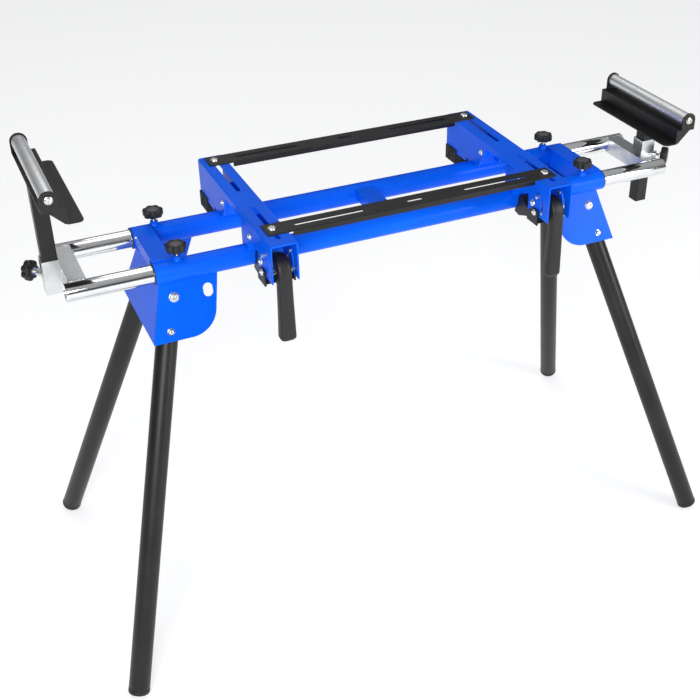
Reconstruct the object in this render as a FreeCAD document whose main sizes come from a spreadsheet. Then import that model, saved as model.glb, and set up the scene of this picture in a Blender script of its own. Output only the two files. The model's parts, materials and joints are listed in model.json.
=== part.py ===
import FreeCAD, Part
import math
import os
import Sketcher
from FreeCAD import Placement, Rotation, Vector

# Folding work stand for a mitre saw: two long rails on four folding legs, a sliding carriage with two
# slotted mounting bars, and a height-adjustable work roller on a telescopic extension at each end.
# Millimetres.  X runs along the rails, Y to the rear, Z up, and the feet stand on Z = 0.
# A size given in words follows the sizes it names.
# A size given in words follows the sizes it names.

doc = FreeCAD.newDocument("SawStand")
sheet = doc.addObject("Spreadsheet::Sheet", "Sizes")

sizes = {
    # rails and the member that joins them
    "railRadius": "armRadius + bushWall + railWall", "railWall": 2.0, "bushWall": 1.2,
    "railLength": 883.6, "railSpacing": 142.4, "railHeight": 722.2,
    "memberWidth": 36.0, "memberDepth": 20.0, "memberDrop": 4.0,
    # leg brackets
    "sheetGauge": 2.5, "plateTilt": 18.9, "plateRise": 27.3, "plateDrop": 75.2, "plateCorner": 50.0,
    "innerWallDepth": 35.0, "lipDepth": 20.0,
    # legs, feet and their bolts
    "legRadius": 19.0, "legWall": 1.5, "legInset": "legRadius + 6.5", "legLean": 15.5,
    "legStub": 14.0, "capRadius": "legRadius + 0.5", "capLength": 32.0, "capFloor": 10.0,
    "capFillet": 5.0, "capFit": 0.05,
    "boltRadius": 5.0, "boltHeadRadius": 8.5, "boltHeadHeight": 4.5, "boltFit": 0.08, "nutHeight": 6.0,
    "lockDistance": 60.0, "lockHoleRadius": 6.5, "lockRadius": 4.5, "lockOut": 4.0,
    "lockCollarRadius": 8.2, "lockCollarGauge": 1.0, "foldHoleWidth": 17.0, "foldHoleHeight": 24.0,
    # telescopic extensions
    "armRadius": 16.0, "armWall": 1.5, "armLength": 420.0, "armFit": 0.08, "bushLength": 30.0,
    "bushFlange": 2.0, "crossSize": 30.0,
    "socketSize": "postSize + postFit * 2 + squareWall * 2", "socketHeight": 62.0, "squareWall": 2.0,
    "postFit": 0.4,
    # roller heads
    "postSize": 25.2, "postLength": 196.0, "rollerRadius": 12.0, "rollerWall": 1.5, "rollerPlug": 8.0,
    "rollerGap": 0.8, "axleRadius": 4.0, "axleFit": 0.08, "axleHeadRadius": 6.5, "axleHeadHeight": 3.5,
    "headHalfLength": 126.0, "earRadius": "rollerRadius + 2.5", "shelfDrop": "rollerRadius + 5",
    "wallOffset": 22.0, "wallFoot": 42.0,
    "flangeReach": 48.5, "flangeCorner": 10.0, "gussetReach": 6.0,
    # clamp knobs
    "knobRadius": 18.0, "knobHeight": 14.0, "studRadius": 3.0, "studFit": 0.1, "studTip": 0.3,
    "scallopRadius": 5.0, "scallopCentre": 20.5, "bossRadius": 7.0, "postKnobReach": 36.0,
    "postBoss": 6.0,
    # saw brackets
    "sawX": 258.75, "sawWidth": 47.5, "sawDepth": 68.0, "slotWidth": 8.4, "rearSlotY": 8.5,
    "railSeatGap": 0.3, "restOffset": 40.0, "restBoltRadius": 3.0, "restReach": 48.0, "restShoe": 14.0,
    "restDepth": 22.0, "restGap": 3.0, "padWall": 3.0, "padLength": 42.0, "padHeight": 30.0,
    "padCentre": 22.0, "padDrop": 23.0,
    # lever clamps
    "leverWidth": "sawWidth - sheetGauge * 2 - 16.5", "guideRadius": 30.0, "guidePinRadius": 2.8,
    "guideSlotWidth": 6.6,
    "guideStart": -20.0, "guideSweep": 55.0, "leverBoltHead": 6.5, "leverRound": 4.0, "leverHeel": 11.0,
    "leverUnder": 8.5, "leverHead": 19.0, "leverBack": 30.0, "leverFront": 52.0, "leverTip": 135.0,
    "leverTaper": 23.0, "jawBoltRadius": 3.5, "jawBoltHead": 5.5, "jawPlateGauge": 3.0, "jawGap": 0.5,
    "hookWidth": 22.0, "hookGap": 0.5, "hexRadius": 7.5, "hexHeight": 4.5, "crossHead": 3.5,
    "cheekRear": 24.0, "cheekFront": 10.0, "cheekTop": 6.0, "jawDrop": 23.0, "strapGauge": 4.0,
    "strapWidth": 28.0, "hookRise": 15.8, "hookWall": 6.0, "hookReach": 10.0,
    # mounting bars
    "barHalfLength": 272.0, "barWidth": 40.0, "barGauge": 2.5, "barFoldHalf": 228.0, "barFoldDepth": 10.0,
    "barBoltRadius": 3.9, "barSlotX": 157.5, "barSlotLength": 125.0, "barMidSlotLength": 30.0,
    "barSlotWidth": 8.0, "barBoltHead": 7.5,
    # places along the rails, which follow their length
    "pivotX": "railLength / 2 - 27.2", "plateInnerX": "railLength / 2 - 108.3",
    "plateInnerFootX": "railLength / 2 - 87.3", "plateOuterX": "railLength / 2 - 7.2",
    "plateOuterFootX": "railLength / 2 + 21.4", "deckInnerX": "railLength / 2 - 34.8",
    "deckOuterX": "railLength / 2 - 0.8", "webTopX": "railLength / 2 - 17.9",
    "knobX": "railLength / 2 - 42.7",
    "armReach": "railLength / 2 + 146.2", "crossX": "railLength / 2 + 123.2",
    # places across the stand, which follow the gap between the rails
    "pivotY": "railSpacing / 2 + 12", "deckHalfWidth": "railSpacing / 2 - 1.2",
    "webHalfWidth": "railSpacing / 2 - 19.7", "webFootHalf": "railSpacing / 2 + 32.8",
    "crossHalfLength": "railSpacing / 2 - 5.2", "sawFrontY": "railSpacing / 2 + 140.8",
    "sawRearY": "railSpacing / 2 + 101.8", "leverY": "railSpacing / 2 + 90.8",
    "jawY": "railSpacing / 2 + 102.8", "hexY": "railSpacing / 2 + 106.8",
    "barFrontY": "railSpacing / 2 + 83.8", "barRearY": "railSpacing / 2 + 76.8",
    "frontSlotY": "railSpacing / 2 + 118.8", "frontSlotEndY": "railSpacing / 2 - 11.2",
    "rearSlotEndY": "railSpacing / 2 + 84.8",
    # heights, which follow the rails
    "pivotZ": "railHeight - 44.6", "webTopZ": "railHeight + railRadius", "knobBaseZ": "railHeight + 34.8",
    "bossTopZ": "railHeight + 25.8", "socketBottomZ": "railHeight - 30.2",
    "rollerZRight": "railHeight + 113.3", "rollerZLeft": "railHeight + 189.3",
    "sawTopZ": "railHeight + 80.8", "archTopZ": "railHeight + 66.8",
    "railSeatZ": "railHeight + railRadius + 0.6",
    "jawNotchZ": "railHeight + 42.8", "restBoltZ": "railHeight + 53.8", "leverZ": "railHeight + 31.8",
    "jawZ": "railHeight + 18.8", "hexZ": "railHeight + 50.8", "webFootZ": "railHeight - 115.7",
    "postKnobZ": "railHeight",
}
for row, (alias, number) in enumerate(sizes.items(), start=1):
    sheet.set(f"A{row}", alias)
    sheet.set(f"B{row}", f"={number}")
    sheet.setAlias(f"B{row}", alias)
doc.recompute()
sizes = {alias: float(sheet.get(alias)) for alias in sizes}

probe = doc.addObject("App::FeaturePython", "Probe")
nodes = []


def bound(words):
    """Turn the plain names in a size expression into cells of the sheet."""
    parts = []
    word = ""
    for letter in words + " ":
        if letter.isalnum():
            word += letter
            continue
        parts.append(f"Sizes.{word}" if word in sizes else word)
        parts.append(letter)
        word = ""
    return "".join(parts).strip()


def worth(words):
    """The number that a size expression gives."""
    result = probe.evalExpression(bound(words))
    return float(getattr(result, "Value", result))


def bind(item, prop, words):
    item.setExpression(prop, bound(words))


def at(item, base, turn=None):
    """Put an item at a place given as three size expressions."""
    item.Placement = Placement(Vector(), turn or Rotation())
    for direction, words in zip("xyz", base):
        bind(item, f"Placement.Base.{direction}", words)
    return item


alongX = Rotation(Vector(0, 1, 0), 90)
alongY = Rotation(Vector(1, 0, 0), -90)
alongZ = Rotation()


def cylinder(name, radius, height, base, turn=alongZ):
    item = doc.addObject("Part::Cylinder", name)
    bind(item, "Radius", radius)
    bind(item, "Height", height)
    return at(item, base, turn)


def box(name, size, base):
    """A box of three size expressions, standing on the middle of its lower face."""
    item = doc.addObject("Part::Box", name)
    for prop, words in zip(("Length", "Width", "Height"), size):
        bind(item, prop, words)
    x, y, z = base
    return at(item, (f"{x} - ({size[0]}) / 2", f"{y} - ({size[1]}) / 2", z))


def fuse(name, items):
    item = doc.addObject("Part::MultiFuse", name)
    item.Shapes = items
    return item


def cut(name, base, tools):
    item = doc.addObject("Part::Cut", name)
    item.Base = base
    item.Tool = tools[0] if len(tools) == 1 else fuse(f"{name}Tools", tools)
    return item


def gather(name, items):
    item = doc.addObject("Part::Compound", name)
    item.Links = items
    return item


def keep(item, label):
    """Name a finished sub-part: its label is its node."""
    item.Label = label
    nodes.append(item)
    return item


def sketchOn(body, role, name):
    sketch = body.newObject("Sketcher::SketchObject", name)
    plane = next(feature for feature in body.Origin.OriginFeatures if feature.Role == role)
    sketch.AttachmentSupport = [(plane, "")]
    sketch.MapMode = "FlatFace"
    return sketch


def outline(sketch, corners):
    """Draw a closed polygon whose corners are pairs of size expressions."""
    first = sketch.GeometryCount
    places = [Vector(worth(x), worth(y), 0) for x, y in corners]
    for start, end in zip(places, places[1:] + places[:1]):
        sketch.addGeometry(Part.LineSegment(start, end), False)
    for index, (x, y) in enumerate(corners):
        line = first + index
        following = first + (index + 1) % len(corners)
        sketch.addConstraint(Sketcher.Constraint("Coincident", line, 2, following, 1))
        for kind, words, number in (("DistanceX", x, places[index].x), ("DistanceY", y, places[index].y)):
            made = sketch.addConstraint(Sketcher.Constraint(kind, -1, 1, line, 1, number))
            bind(sketch, f"Constraints[{made}]", words)


def drawCircle(sketch, x, y, radius):
    """Draw a circle at a place given by two size expressions."""
    centre = Vector(worth(x), worth(y), 0)
    circle = sketch.addGeometry(Part.Circle(centre, Vector(0, 0, 1), worth(radius)), False)
    made = sketch.addConstraint(Sketcher.Constraint("Radius", circle, worth(radius)))
    bind(sketch, f"Constraints[{made}]", radius)
    for kind, words, number in (("DistanceX", x, centre.x), ("DistanceY", y, centre.y)):
        made = sketch.addConstraint(Sketcher.Constraint(kind, -1, 1, circle, 3, number))
        bind(sketch, f"Constraints[{made}]", words)


def slab(name, role, corners, gauge, holes=()):
    """A flat piece: a polygon with round holes, padded evenly about its own plane."""
    body = doc.addObject("PartDesign::Body", name)
    sketch = sketchOn(body, role, f"{name}Outline")
    outline(sketch, corners)
    for x, y, radius in holes:
        drawCircle(sketch, x, y, radius)
    pad = body.newObject("PartDesign::Pad", f"{name}Pad")
    pad.Profile = sketch
    pad.SideType = "Symmetric"
    bind(pad, "Length", gauge)
    sketch.Visibility = False
    return body


def turned(name, profile):
    """A piece turned about its own Z axis from a polygon of radius and height expressions."""
    body = doc.addObject("PartDesign::Body", name)
    sketch = sketchOn(body, "XZ_Plane", f"{name}Profile")
    outline(sketch, profile)
    turn = body.newObject("PartDesign::Revolution", f"{name}Turn")
    turn.Profile = sketch
    turn.ReferenceAxis = (sketch, ["V_Axis"])
    turn.Angle = 360.0
    return body


def soften(body, name, pick, radius):
    """Round the edges of a body that a test picks out."""
    doc.recompute()
    base = body.Tip
    names = [f"Edge{index}" for index, edge in enumerate(body.Shape.Edges, start=1) if pick(edge)]
    fillet = body.newObject("PartDesign::Fillet", name)
    fillet.Base = (base, names)
    bind(fillet, "Radius", radius)
    return fillet


def rounded(body, name, axis, places, radius):
    """Round the straight edges along an axis that pass through given points."""
    def pick(edge):
        start, end = edge.firstVertex().Point, edge.lastVertex().Point
        along = end - start
        if along.Length < 1e-6 or along.cross(axis).Length > 1e-6:
            return False
        return any((start - place).cross(axis).Length < 1e-3 for place in places)
    return soften(body, name, pick, radius)


ends = {"left": -1, "right": 1}
sides = {"front": -1, "rear": 1}
halfTurn = Rotation(Vector(0, 0, 1), 180)


def signed(sign, words):
    return words if sign > 0 else f"-({words})"


def railTool(name, side, radius):
    """A cylinder along a rail's axis, longer than the rail."""
    y = signed(sides[side], "railSpacing / 2")
    return cylinder(name, radius, "railLength * 2", ("-railLength", y, "railHeight"), alongX)


# ---- rails and the member between them ----

for side, facing in sides.items():
    y = signed(facing, "railSpacing / 2")
    start = ("-railLength / 2", y, "railHeight")
    outer = cylinder(f"Rail{side}Outer", "railRadius", "railLength", start, alongX)
    tools = [cylinder(f"Rail{side}Bore", "railRadius - railWall", "railLength", start, alongX)]
    for end, way in ends.items():
        place = (signed(way, "knobX"), y, "railHeight")
        tools.append(cylinder(f"Rail{side}{end}Hole", "studRadius + studFit", "railRadius * 2", place))
    keep(cut(f"Rail{side}", outer, tools), f"rail_{side}")

member = box("MemberBar", ("memberWidth", "railSpacing", "memberDepth"),
             ("0", "0", "railHeight + railRadius - memberDrop - memberDepth"))
coping = [railTool(f"MemberCope{side}", side, "railRadius") for side in sides]
keep(cut("Member", member, coping), "centre_member")

# ---- leg brackets ----

tilt = math.radians(sizes["plateTilt"])
lean = math.radians(sizes["legLean"])


def inwardFrom(facing):
    """The way straight through a side plate, from its outer face inwards."""
    return Vector(0, -facing * math.cos(tilt), -math.sin(tilt))


def plateTurn(facing):
    return Rotation(Vector(1, 0, 0), facing * sizes["plateTilt"])


def platePivot(facing, depth, x=0):
    """Where a side plate's pivot lies, at a depth inside its outer face."""
    return Vector(x, facing * sizes["pivotY"], sizes["pivotZ"]) + inwardFrom(facing) * depth


def sidePlate(name, facing):
    """A tilted side plate with the pivot, lock and fold holes and a large rounded inner corner."""
    corners = [("plateInnerX", "plateRise"), ("plateOuterX", "plateRise"),
               ("plateOuterFootX", "-plateDrop"), ("plateInnerFootX", "-plateDrop")]
    holes = [("pivotX", "0", "boltRadius + boltFit"),
             ("pivotX + lockDistance * sin(legLean * 1deg)", "-lockDistance * cos(legLean * 1deg)",
              "lockHoleRadius")]
    body = slab(name, "XZ_Plane", corners, "sheetGauge", holes)
    foot = Vector(sizes["plateInnerFootX"], 0, -sizes["plateDrop"])
    rounded(body, f"{name}Corner", Vector(0, 1, 0), [foot], "plateCorner")
    sketch = sketchOn(body, "XZ_Plane", f"{name}FoldHole")
    middle = "pivotX - lockDistance"
    reach = "(foldHoleHeight - foldHoleWidth) / 2"
    ring = "foldHoleWidth / 2"
    drawSlot(sketch, middle, reach, ring)
    pocket = body.newObject("PartDesign::Pocket", f"{name}Fold")
    pocket.Profile = sketch
    pocket.Type = "ThroughAll"
    pocket.SideType = "Symmetric"
    body.Placement = Placement(platePivot(facing, sizes["sheetGauge"] / 2), plateTurn(facing))
    return body


def drawSlot(sketch, x, reach, radius):
    """An upright oblong about (x, 0): two half circles joined by straight sides."""
    middle, half, ring = worth(x), worth(reach), worth(radius)
    upper = Part.Circle(Vector(middle, half, 0), Vector(0, 0, 1), ring)
    lower = Part.Circle(Vector(middle, -half, 0), Vector(0, 0, 1), ring)
    top = sketch.addGeometry(Part.ArcOfCircle(upper, 0, math.pi), False)
    left = sketch.addGeometry(Part.LineSegment(Vector(middle - ring, half, 0),
                                               Vector(middle - ring, -half, 0)), False)
    foot = sketch.addGeometry(Part.ArcOfCircle(lower, math.pi, 2 * math.pi), False)
    right = sketch.addGeometry(Part.LineSegment(Vector(middle + ring, -half, 0),
                                                Vector(middle + ring, half, 0)), False)
    for first, firstEnd, second, secondEnd in ((top, 2, left, 1), (left, 2, foot, 1),
                                               (foot, 2, right, 1), (right, 2, top, 1)):
        sketch.addConstraint(Sketcher.Constraint("Tangent", first, firstEnd, second, secondEnd))
    made = sketch.addConstraint(Sketcher.Constraint("Radius", top, ring))
    bind(sketch, f"Constraints[{made}]", radius)
    for arc, height, words in ((top, half, reach), (foot, -half, f"-({reach})")):
        made = sketch.addConstraint(Sketcher.Constraint("DistanceY", -1, 1, arc, 3, height))
        bind(sketch, f"Constraints[{made}]", words)
    made = sketch.addConstraint(Sketcher.Constraint("DistanceX", -1, 1, top, 3, middle))
    bind(sketch, f"Constraints[{made}]", x)


def endWeb(name):
    """The outward-leaning web that joins the side plates' edges: its narrow neck meets the deck."""
    run = sizes["plateOuterFootX"] - sizes["webTopX"]
    drop = sizes["webTopZ"] - sizes["webFootZ"]
    slope = math.atan2(run, drop)
    stretch = 1 / math.cos(slope)
    neck = -(sizes["webTopZ"] - sizes["railHeight"] + sizes["railRadius"] + 1) * stretch
    shoulder = worth("pivotY - plateRise * tan(plateTilt * 1deg) * cos(plateTilt * 1deg)")
    corners = [("webHalfWidth", "0"), ("webHalfWidth", f"{neck}"), (f"{shoulder}", f"{neck}"),
               ("webFootHalf", f"{-drop * stretch}"), ("-webFootHalf", f"{-drop * stretch}"),
               (f"{-shoulder}", f"{neck}"), ("-webHalfWidth", f"{neck}"), ("-webHalfWidth", "0")]
    body = slab(name, "YZ_Plane", corners, "sheetGauge")
    top = Vector(sizes["webTopX"] - sizes["sheetGauge"] / 2, 0, sizes["webTopZ"])
    body.Placement = Placement(top, Rotation(Vector(0, 1, 0), -math.degrees(slope)))
    return body


def legBracket(end, way):
    """Deck, lip, inner wall, leaning web and two tilted side plates, welded into one piece."""
    name = f"LegBracket{end}"
    top = "railHeight + railRadius"
    deckX = "(deckInnerX + deckOuterX) / 2"
    deck = box(f"{name}Deck", ("deckOuterX - deckInnerX", "deckHalfWidth * 2", "sheetGauge"),
               (deckX, "0", top))
    lip = box(f"{name}Lip", ("sheetGauge", "webHalfWidth * 2", "lipDepth"),
              ("deckOuterX - sheetGauge / 2", "0", f"{top} - lipDepth"))
    wall = box(f"{name}Wall", ("sheetGauge", "webHalfWidth * 2", "innerWallDepth"),
               ("deckInnerX + sheetGauge / 2", "0", f"{top} - innerWallDepth"))
    plates = [sidePlate(f"{name}Plate{side}", facing) for side, facing in sides.items()]
    welded = fuse(f"{name}Weld", [deck, lip, wall, endWeb(f"{name}Web")] + plates)
    bracket = cut(name, welded, [railTool(f"{name}Rail{side}", side, "railRadius") for side in sides])
    if way < 0:
        bracket.Placement = Placement(Vector(), halfTurn)
    return keep(bracket, f"leg_bracket_{end}")


for end, way in ends.items():
    legBracket(end, way)

# ---- legs with their foot plugs, pivot bolts and lock buttons ----

# A leg leans both ways, and its foot plug rests on the lowest edge of its rounded rim.
legTip = "acos(cos(plateTilt * 1deg) * cos(legLean * 1deg))"
pivotRise = "(pivotZ - legInset * sin(plateTilt * 1deg))"
capRest = f"((capRadius - capFillet) * sin({legTip}) + capFillet)"
legReach = f"(({pivotRise} - {capRest}) / cos({legTip}) + capFillet)"


def legPlacement(way, facing):
    """A leg's own frame: pivot at its origin, the leg down its -Z axis, its bolt along Y."""
    pivot = platePivot(facing, sizes["legInset"], way * sizes["pivotX"])
    return Placement(pivot, plateTurn(facing) * Rotation(Vector(0, 1, 0), -way * sizes["legLean"]))


def leg(end, way, side, facing):
    name = f"Leg{end}{side}"
    tubeFoot = f"capFloor - {legReach}"
    length = f"{legReach} - capFloor + legStub"
    outer = cylinder(f"{name}Outer", "legRadius", length, ("0", "0", tubeFoot))
    inner = cylinder(f"{name}Inner", "legRadius - legWall", length, ("0", "0", tubeFoot))
    bolt = cylinder(f"{name}Bolt", "boltRadius + boltFit", "legRadius * 4", ("0", "-legRadius * 2", "0"),
                    alongY)
    tube = keep(cut(name, outer, [inner, bolt]), f"leg_{side}_{end}")
    tube.Placement = legPlacement(way, facing)
    return tube


def footCap(end, way, side, facing):
    """A moulded plug in the leg's end: a rounded flange under the tube and a shank inside it."""
    shank = "legRadius - legWall - capFit"
    body = turned(f"Cap{end}{side}", [
        ("0", f"-{legReach}"), ("capRadius", f"-{legReach}"), ("capRadius", f"capFloor - {legReach}"),
        (shank, f"capFloor - {legReach}"), (shank, f"capLength - {legReach}"),
        ("0", f"capLength - {legReach}")])
    underside = 0.1 - worth(legReach)
    soften(body, f"Cap{end}{side}Rim", lambda edge: edge.BoundBox.ZMax < underside
           and edge.BoundBox.XLength > sizes["capRadius"], "capFillet")
    keep(body, f"foot_cap_{side}_{end}")
    body.Placement = legPlacement(way, facing)
    return body


def pivotBolt(end, way, side, facing):
    """Head outside the plate, spacer between plate and leg, nut inside the leg."""
    far = "legInset + legRadius"
    gap = "legInset - legRadius"
    body = turned(f"PivotBolt{end}{side}", [
        ("0", "-boltHeadHeight"), ("boltHeadRadius * 0.7", "-boltHeadHeight"),
        ("boltHeadRadius", "-boltHeadHeight / 2"), ("boltHeadRadius", "0"), ("boltRadius", "0"),
        ("boltRadius", "sheetGauge"), ("boltHeadRadius", "sheetGauge"), ("boltHeadRadius", f"{gap} - 0.4"),
        ("boltRadius", f"{gap} - 0.4"), ("boltRadius", f"{far} + 0.5"), ("boltHeadRadius", f"{far} + 0.5"),
        ("boltHeadRadius", f"{far} + nutHeight"), ("0", f"{far} + nutHeight")])
    pivot = platePivot(facing, 0, way * sizes["pivotX"])
    body.Placement = Placement(pivot, Rotation(Vector(0, 0, 1), inwardFrom(facing)))
    return body


def lockButton(end, way, side, facing):
    """A domed button that comes out through the side plate, with a collar behind the plate."""
    body = turned(f"Lock{end}{side}", [
        ("0", "-lockOut"), ("lockRadius * 0.6", "-lockOut"), ("lockRadius", "-lockOut * 0.6"),
        ("lockRadius", "sheetGauge"), ("lockCollarRadius", "sheetGauge"),
        ("lockCollarRadius", "sheetGauge + lockCollarGauge"), ("0", "sheetGauge + lockCollarGauge")])
    alongLeg = plateTurn(facing).multVec(Vector(way * math.sin(lean), 0, -math.cos(lean)))
    place = platePivot(facing, 0, way * sizes["pivotX"]) + alongLeg * sizes["lockDistance"]
    keep(body, f"lock_button_{side}_{end}")
    body.Placement = Placement(place, Rotation(Vector(0, 0, 1), inwardFrom(facing)))
    return body


for end, way in ends.items():
    bolts = []
    for side, facing in sides.items():
        leg(end, way, side, facing)
        footCap(end, way, side, facing)
        lockButton(end, way, side, facing)
        bolts.append(pivotBolt(end, way, side, facing))
    keep(gather(f"PivotBolts{end}", bolts), f"pivot_bolts_{end}")

# ---- bushes and bosses on the rails ----


def railBush(end, way, side, facing):
    """A plastic bush in the mouth of a rail, with a flange over its end."""
    body = turned(f"Bush{end}{side}", [
        ("armRadius + armFit", "-bushLength"), ("railRadius - railWall - 0.05", "-bushLength"),
        ("railRadius - railWall - 0.05", "0"), ("railRadius", "0"), ("railRadius", "bushFlange"),
        ("armRadius + armFit", "bushFlange")])
    return at(body, (signed(way, "railLength / 2"), signed(facing, "railSpacing / 2"), "railHeight"),
              Rotation(Vector(0, 0, 1), Vector(way, 0, 0)))


def boss(end, way, side, facing):
    """The threaded boss that a clamp knob screws into, welded on top of a rail."""
    name = f"Boss{end}{side}"
    place = (signed(way, "knobX"), signed(facing, "railSpacing / 2"), "railHeight")
    block = cylinder(f"{name}Block", "bossRadius", "bossTopZ - railHeight", place)
    bore = cylinder(f"{name}Bore", "studRadius + studFit", "bossTopZ", place)
    return cut(name, block, [railTool(f"{name}Rail", side, "railRadius"), bore])


for end, way in ends.items():
    spots = [(end, way, side, facing) for side, facing in sides.items()]
    keep(gather(f"Bushes{end}", [railBush(*spot) for spot in spots]), f"rail_bushes_{end}")
    keep(gather(f"Bosses{end}", [boss(*spot) for spot in spots]), f"knob_bosses_{end}")

# ---- clamp knobs ----


def knob(name, label, reach):
    """A seven-lobed knob with its stud: origin at the knob's base, the stud down its -Z axis."""
    body = doc.addObject("PartDesign::Body", name)
    sketch = sketchOn(body, "XY_Plane", f"{name}Disc")
    drawCircle(sketch, "0", "0", "knobRadius")
    pad = body.newObject("PartDesign::Pad", f"{name}Pad")
    pad.Profile = sketch
    bind(pad, "Length", "knobHeight")
    hollow = sketchOn(body, "XY_Plane", f"{name}Scallop")
    drawCircle(hollow, "scallopCentre", "0", "scallopRadius")
    pocket = body.newObject("PartDesign::Pocket", f"{name}Cut")
    pocket.Profile = hollow
    pocket.Type = "ThroughAll"
    pocket.Reversed = True
    pattern = body.newObject("PartDesign::PolarPattern", f"{name}Lobes")
    pattern.Originals = [pocket]
    pattern.Axis = (sketch, ["N_Axis"])
    pattern.Angle = 360.0
    pattern.Occurrences = 7
    body.Tip = pattern
    shank = sketchOn(body, "XY_Plane", f"{name}StudRing")
    drawCircle(shank, "0", "0", "studRadius")
    stud = body.newObject("PartDesign::Pad", f"{name}Stud")
    stud.Profile = shank
    stud.Reversed = True
    bind(stud, "Length", reach)
    return keep(body, label)


for end, way in ends.items():
    for side, facing in sides.items():
        item = knob(f"RailKnob{end}{side}", f"rail_knob_{side}_{end}",
                    "knobBaseZ - railHeight - armRadius - studTip")
        at(item, (signed(way, "knobX"), signed(facing, "railSpacing / 2"), "knobBaseZ"))

# ---- telescopic extensions ----

socketX = "crossX + crossSize / 2 + socketSize / 2"


def crossbar(end, way):
    """A square tube between the arms, its ends coped to fit round them."""
    name = f"Crossbar{end}"
    middle = "railHeight - crossSize / 2"
    hollow = "crossSize - squareWall * 2"
    bar = box(f"{name}Bar", ("crossSize", "crossHalfLength * 2", "crossSize"),
              (signed(way, "crossX"), "0", middle))
    bore = box(f"{name}Bore", (hollow, "crossHalfLength * 2", hollow),
               (signed(way, "crossX"), "0", f"{middle} + squareWall"))
    copes = [railTool(f"{name}Cope{side}", side, "armRadius") for side in sides]
    return keep(cut(name, bar, [bore] + copes), f"crossbar_{end}")


def socket(end, way):
    """The square socket welded outside the crossbar, with a clamp boss on one outer corner."""
    name = f"Socket{end}"
    x = signed(way, socketX)
    turn = Rotation(Vector(0, 0, 1), Vector(way, -way, 0))
    hollow = "socketSize - squareWall * 2"
    bar = box(f"{name}Bar", ("socketSize", "socketSize", "socketHeight"), (x, "0", "socketBottomZ"))
    lug = cylinder(f"{name}Lug", "bossRadius", "socketSize / sqrt(2) + postBoss", (x, "0", "postKnobZ"),
                   turn)
    bore = box(f"{name}Bore", (hollow, hollow, "socketHeight"), (x, "0", "socketBottomZ"))
    hole = cylinder(f"{name}Hole", "studRadius + studFit", "socketSize", (x, "0", "postKnobZ"), turn)
    return keep(cut(name, fuse(f"{name}Weld", [bar, lug]), [bore, hole]), f"post_socket_{end}")


for end, way in ends.items():
    start = "armReach - armLength" if way > 0 else "-armReach"
    for side, facing in sides.items():
        place = (start, signed(facing, "railSpacing / 2"), "railHeight")
        outer = cylinder(f"Arm{end}{side}Outer", "armRadius", "armLength", place, alongX)
        inner = cylinder(f"Arm{end}{side}Bore", "armRadius - armWall", "armLength", place, alongX)
        keep(cut(f"Arm{end}{side}", outer, [inner]), f"extension_tube_{side}_{end}")
    crossbar(end, way)
    socket(end, way)
    # the two extensions are one part turned half round, so their knobs stand on opposite corners
    item = knob(f"PostKnob{end}", f"post_knob_{end}",
                "postKnobReach - (postSize / 2 - squareWall) * sqrt(2) - squareWall - studTip")
    at(item, (signed(way, f"{socketX} + postKnobReach / sqrt(2)"), signed(-way, "postKnobReach / sqrt(2)"),
              "postKnobZ"), Rotation(Vector(0, 0, 1), Vector(way, -way, 0)))

# ---- roller heads ----


def post(end, way, axisZ):
    """The square post under the head: a tube with a closed, rounded foot."""
    name = f"Post{end}"
    top = f"{axisZ} - shelfDrop - sheetGauge"
    x = signed(way, socketX)
    half = worth("postSize / 2")
    square = [("postSize / 2", "postSize / 2"), ("-postSize / 2", "postSize / 2"),
              ("-postSize / 2", "-postSize / 2"), ("postSize / 2", "-postSize / 2")]
    body = doc.addObject("PartDesign::Body", f"{name}Tube")
    sketch = sketchOn(body, "XY_Plane", f"{name}Square")
    outline(sketch, square)
    pad = body.newObject("PartDesign::Pad", f"{name}Pad")
    pad.Profile = sketch
    bind(pad, "Length", "postLength")
    corners = [Vector(a * half, b * half, 0) for a in (-1, 1) for b in (-1, 1)]
    rounded(body, f"{name}Edges", Vector(0, 0, 1), corners, "squareWall")
    at(body, (x, "0", f"{top} - postLength"))
    hollow = "postSize - squareWall * 2"
    bore = box(f"{name}Bore", (hollow, hollow, "postLength"), (x, "0", f"{top} - postLength + capFloor"))
    return keep(cut(name, body, [bore]), f"post_{end}")


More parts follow.
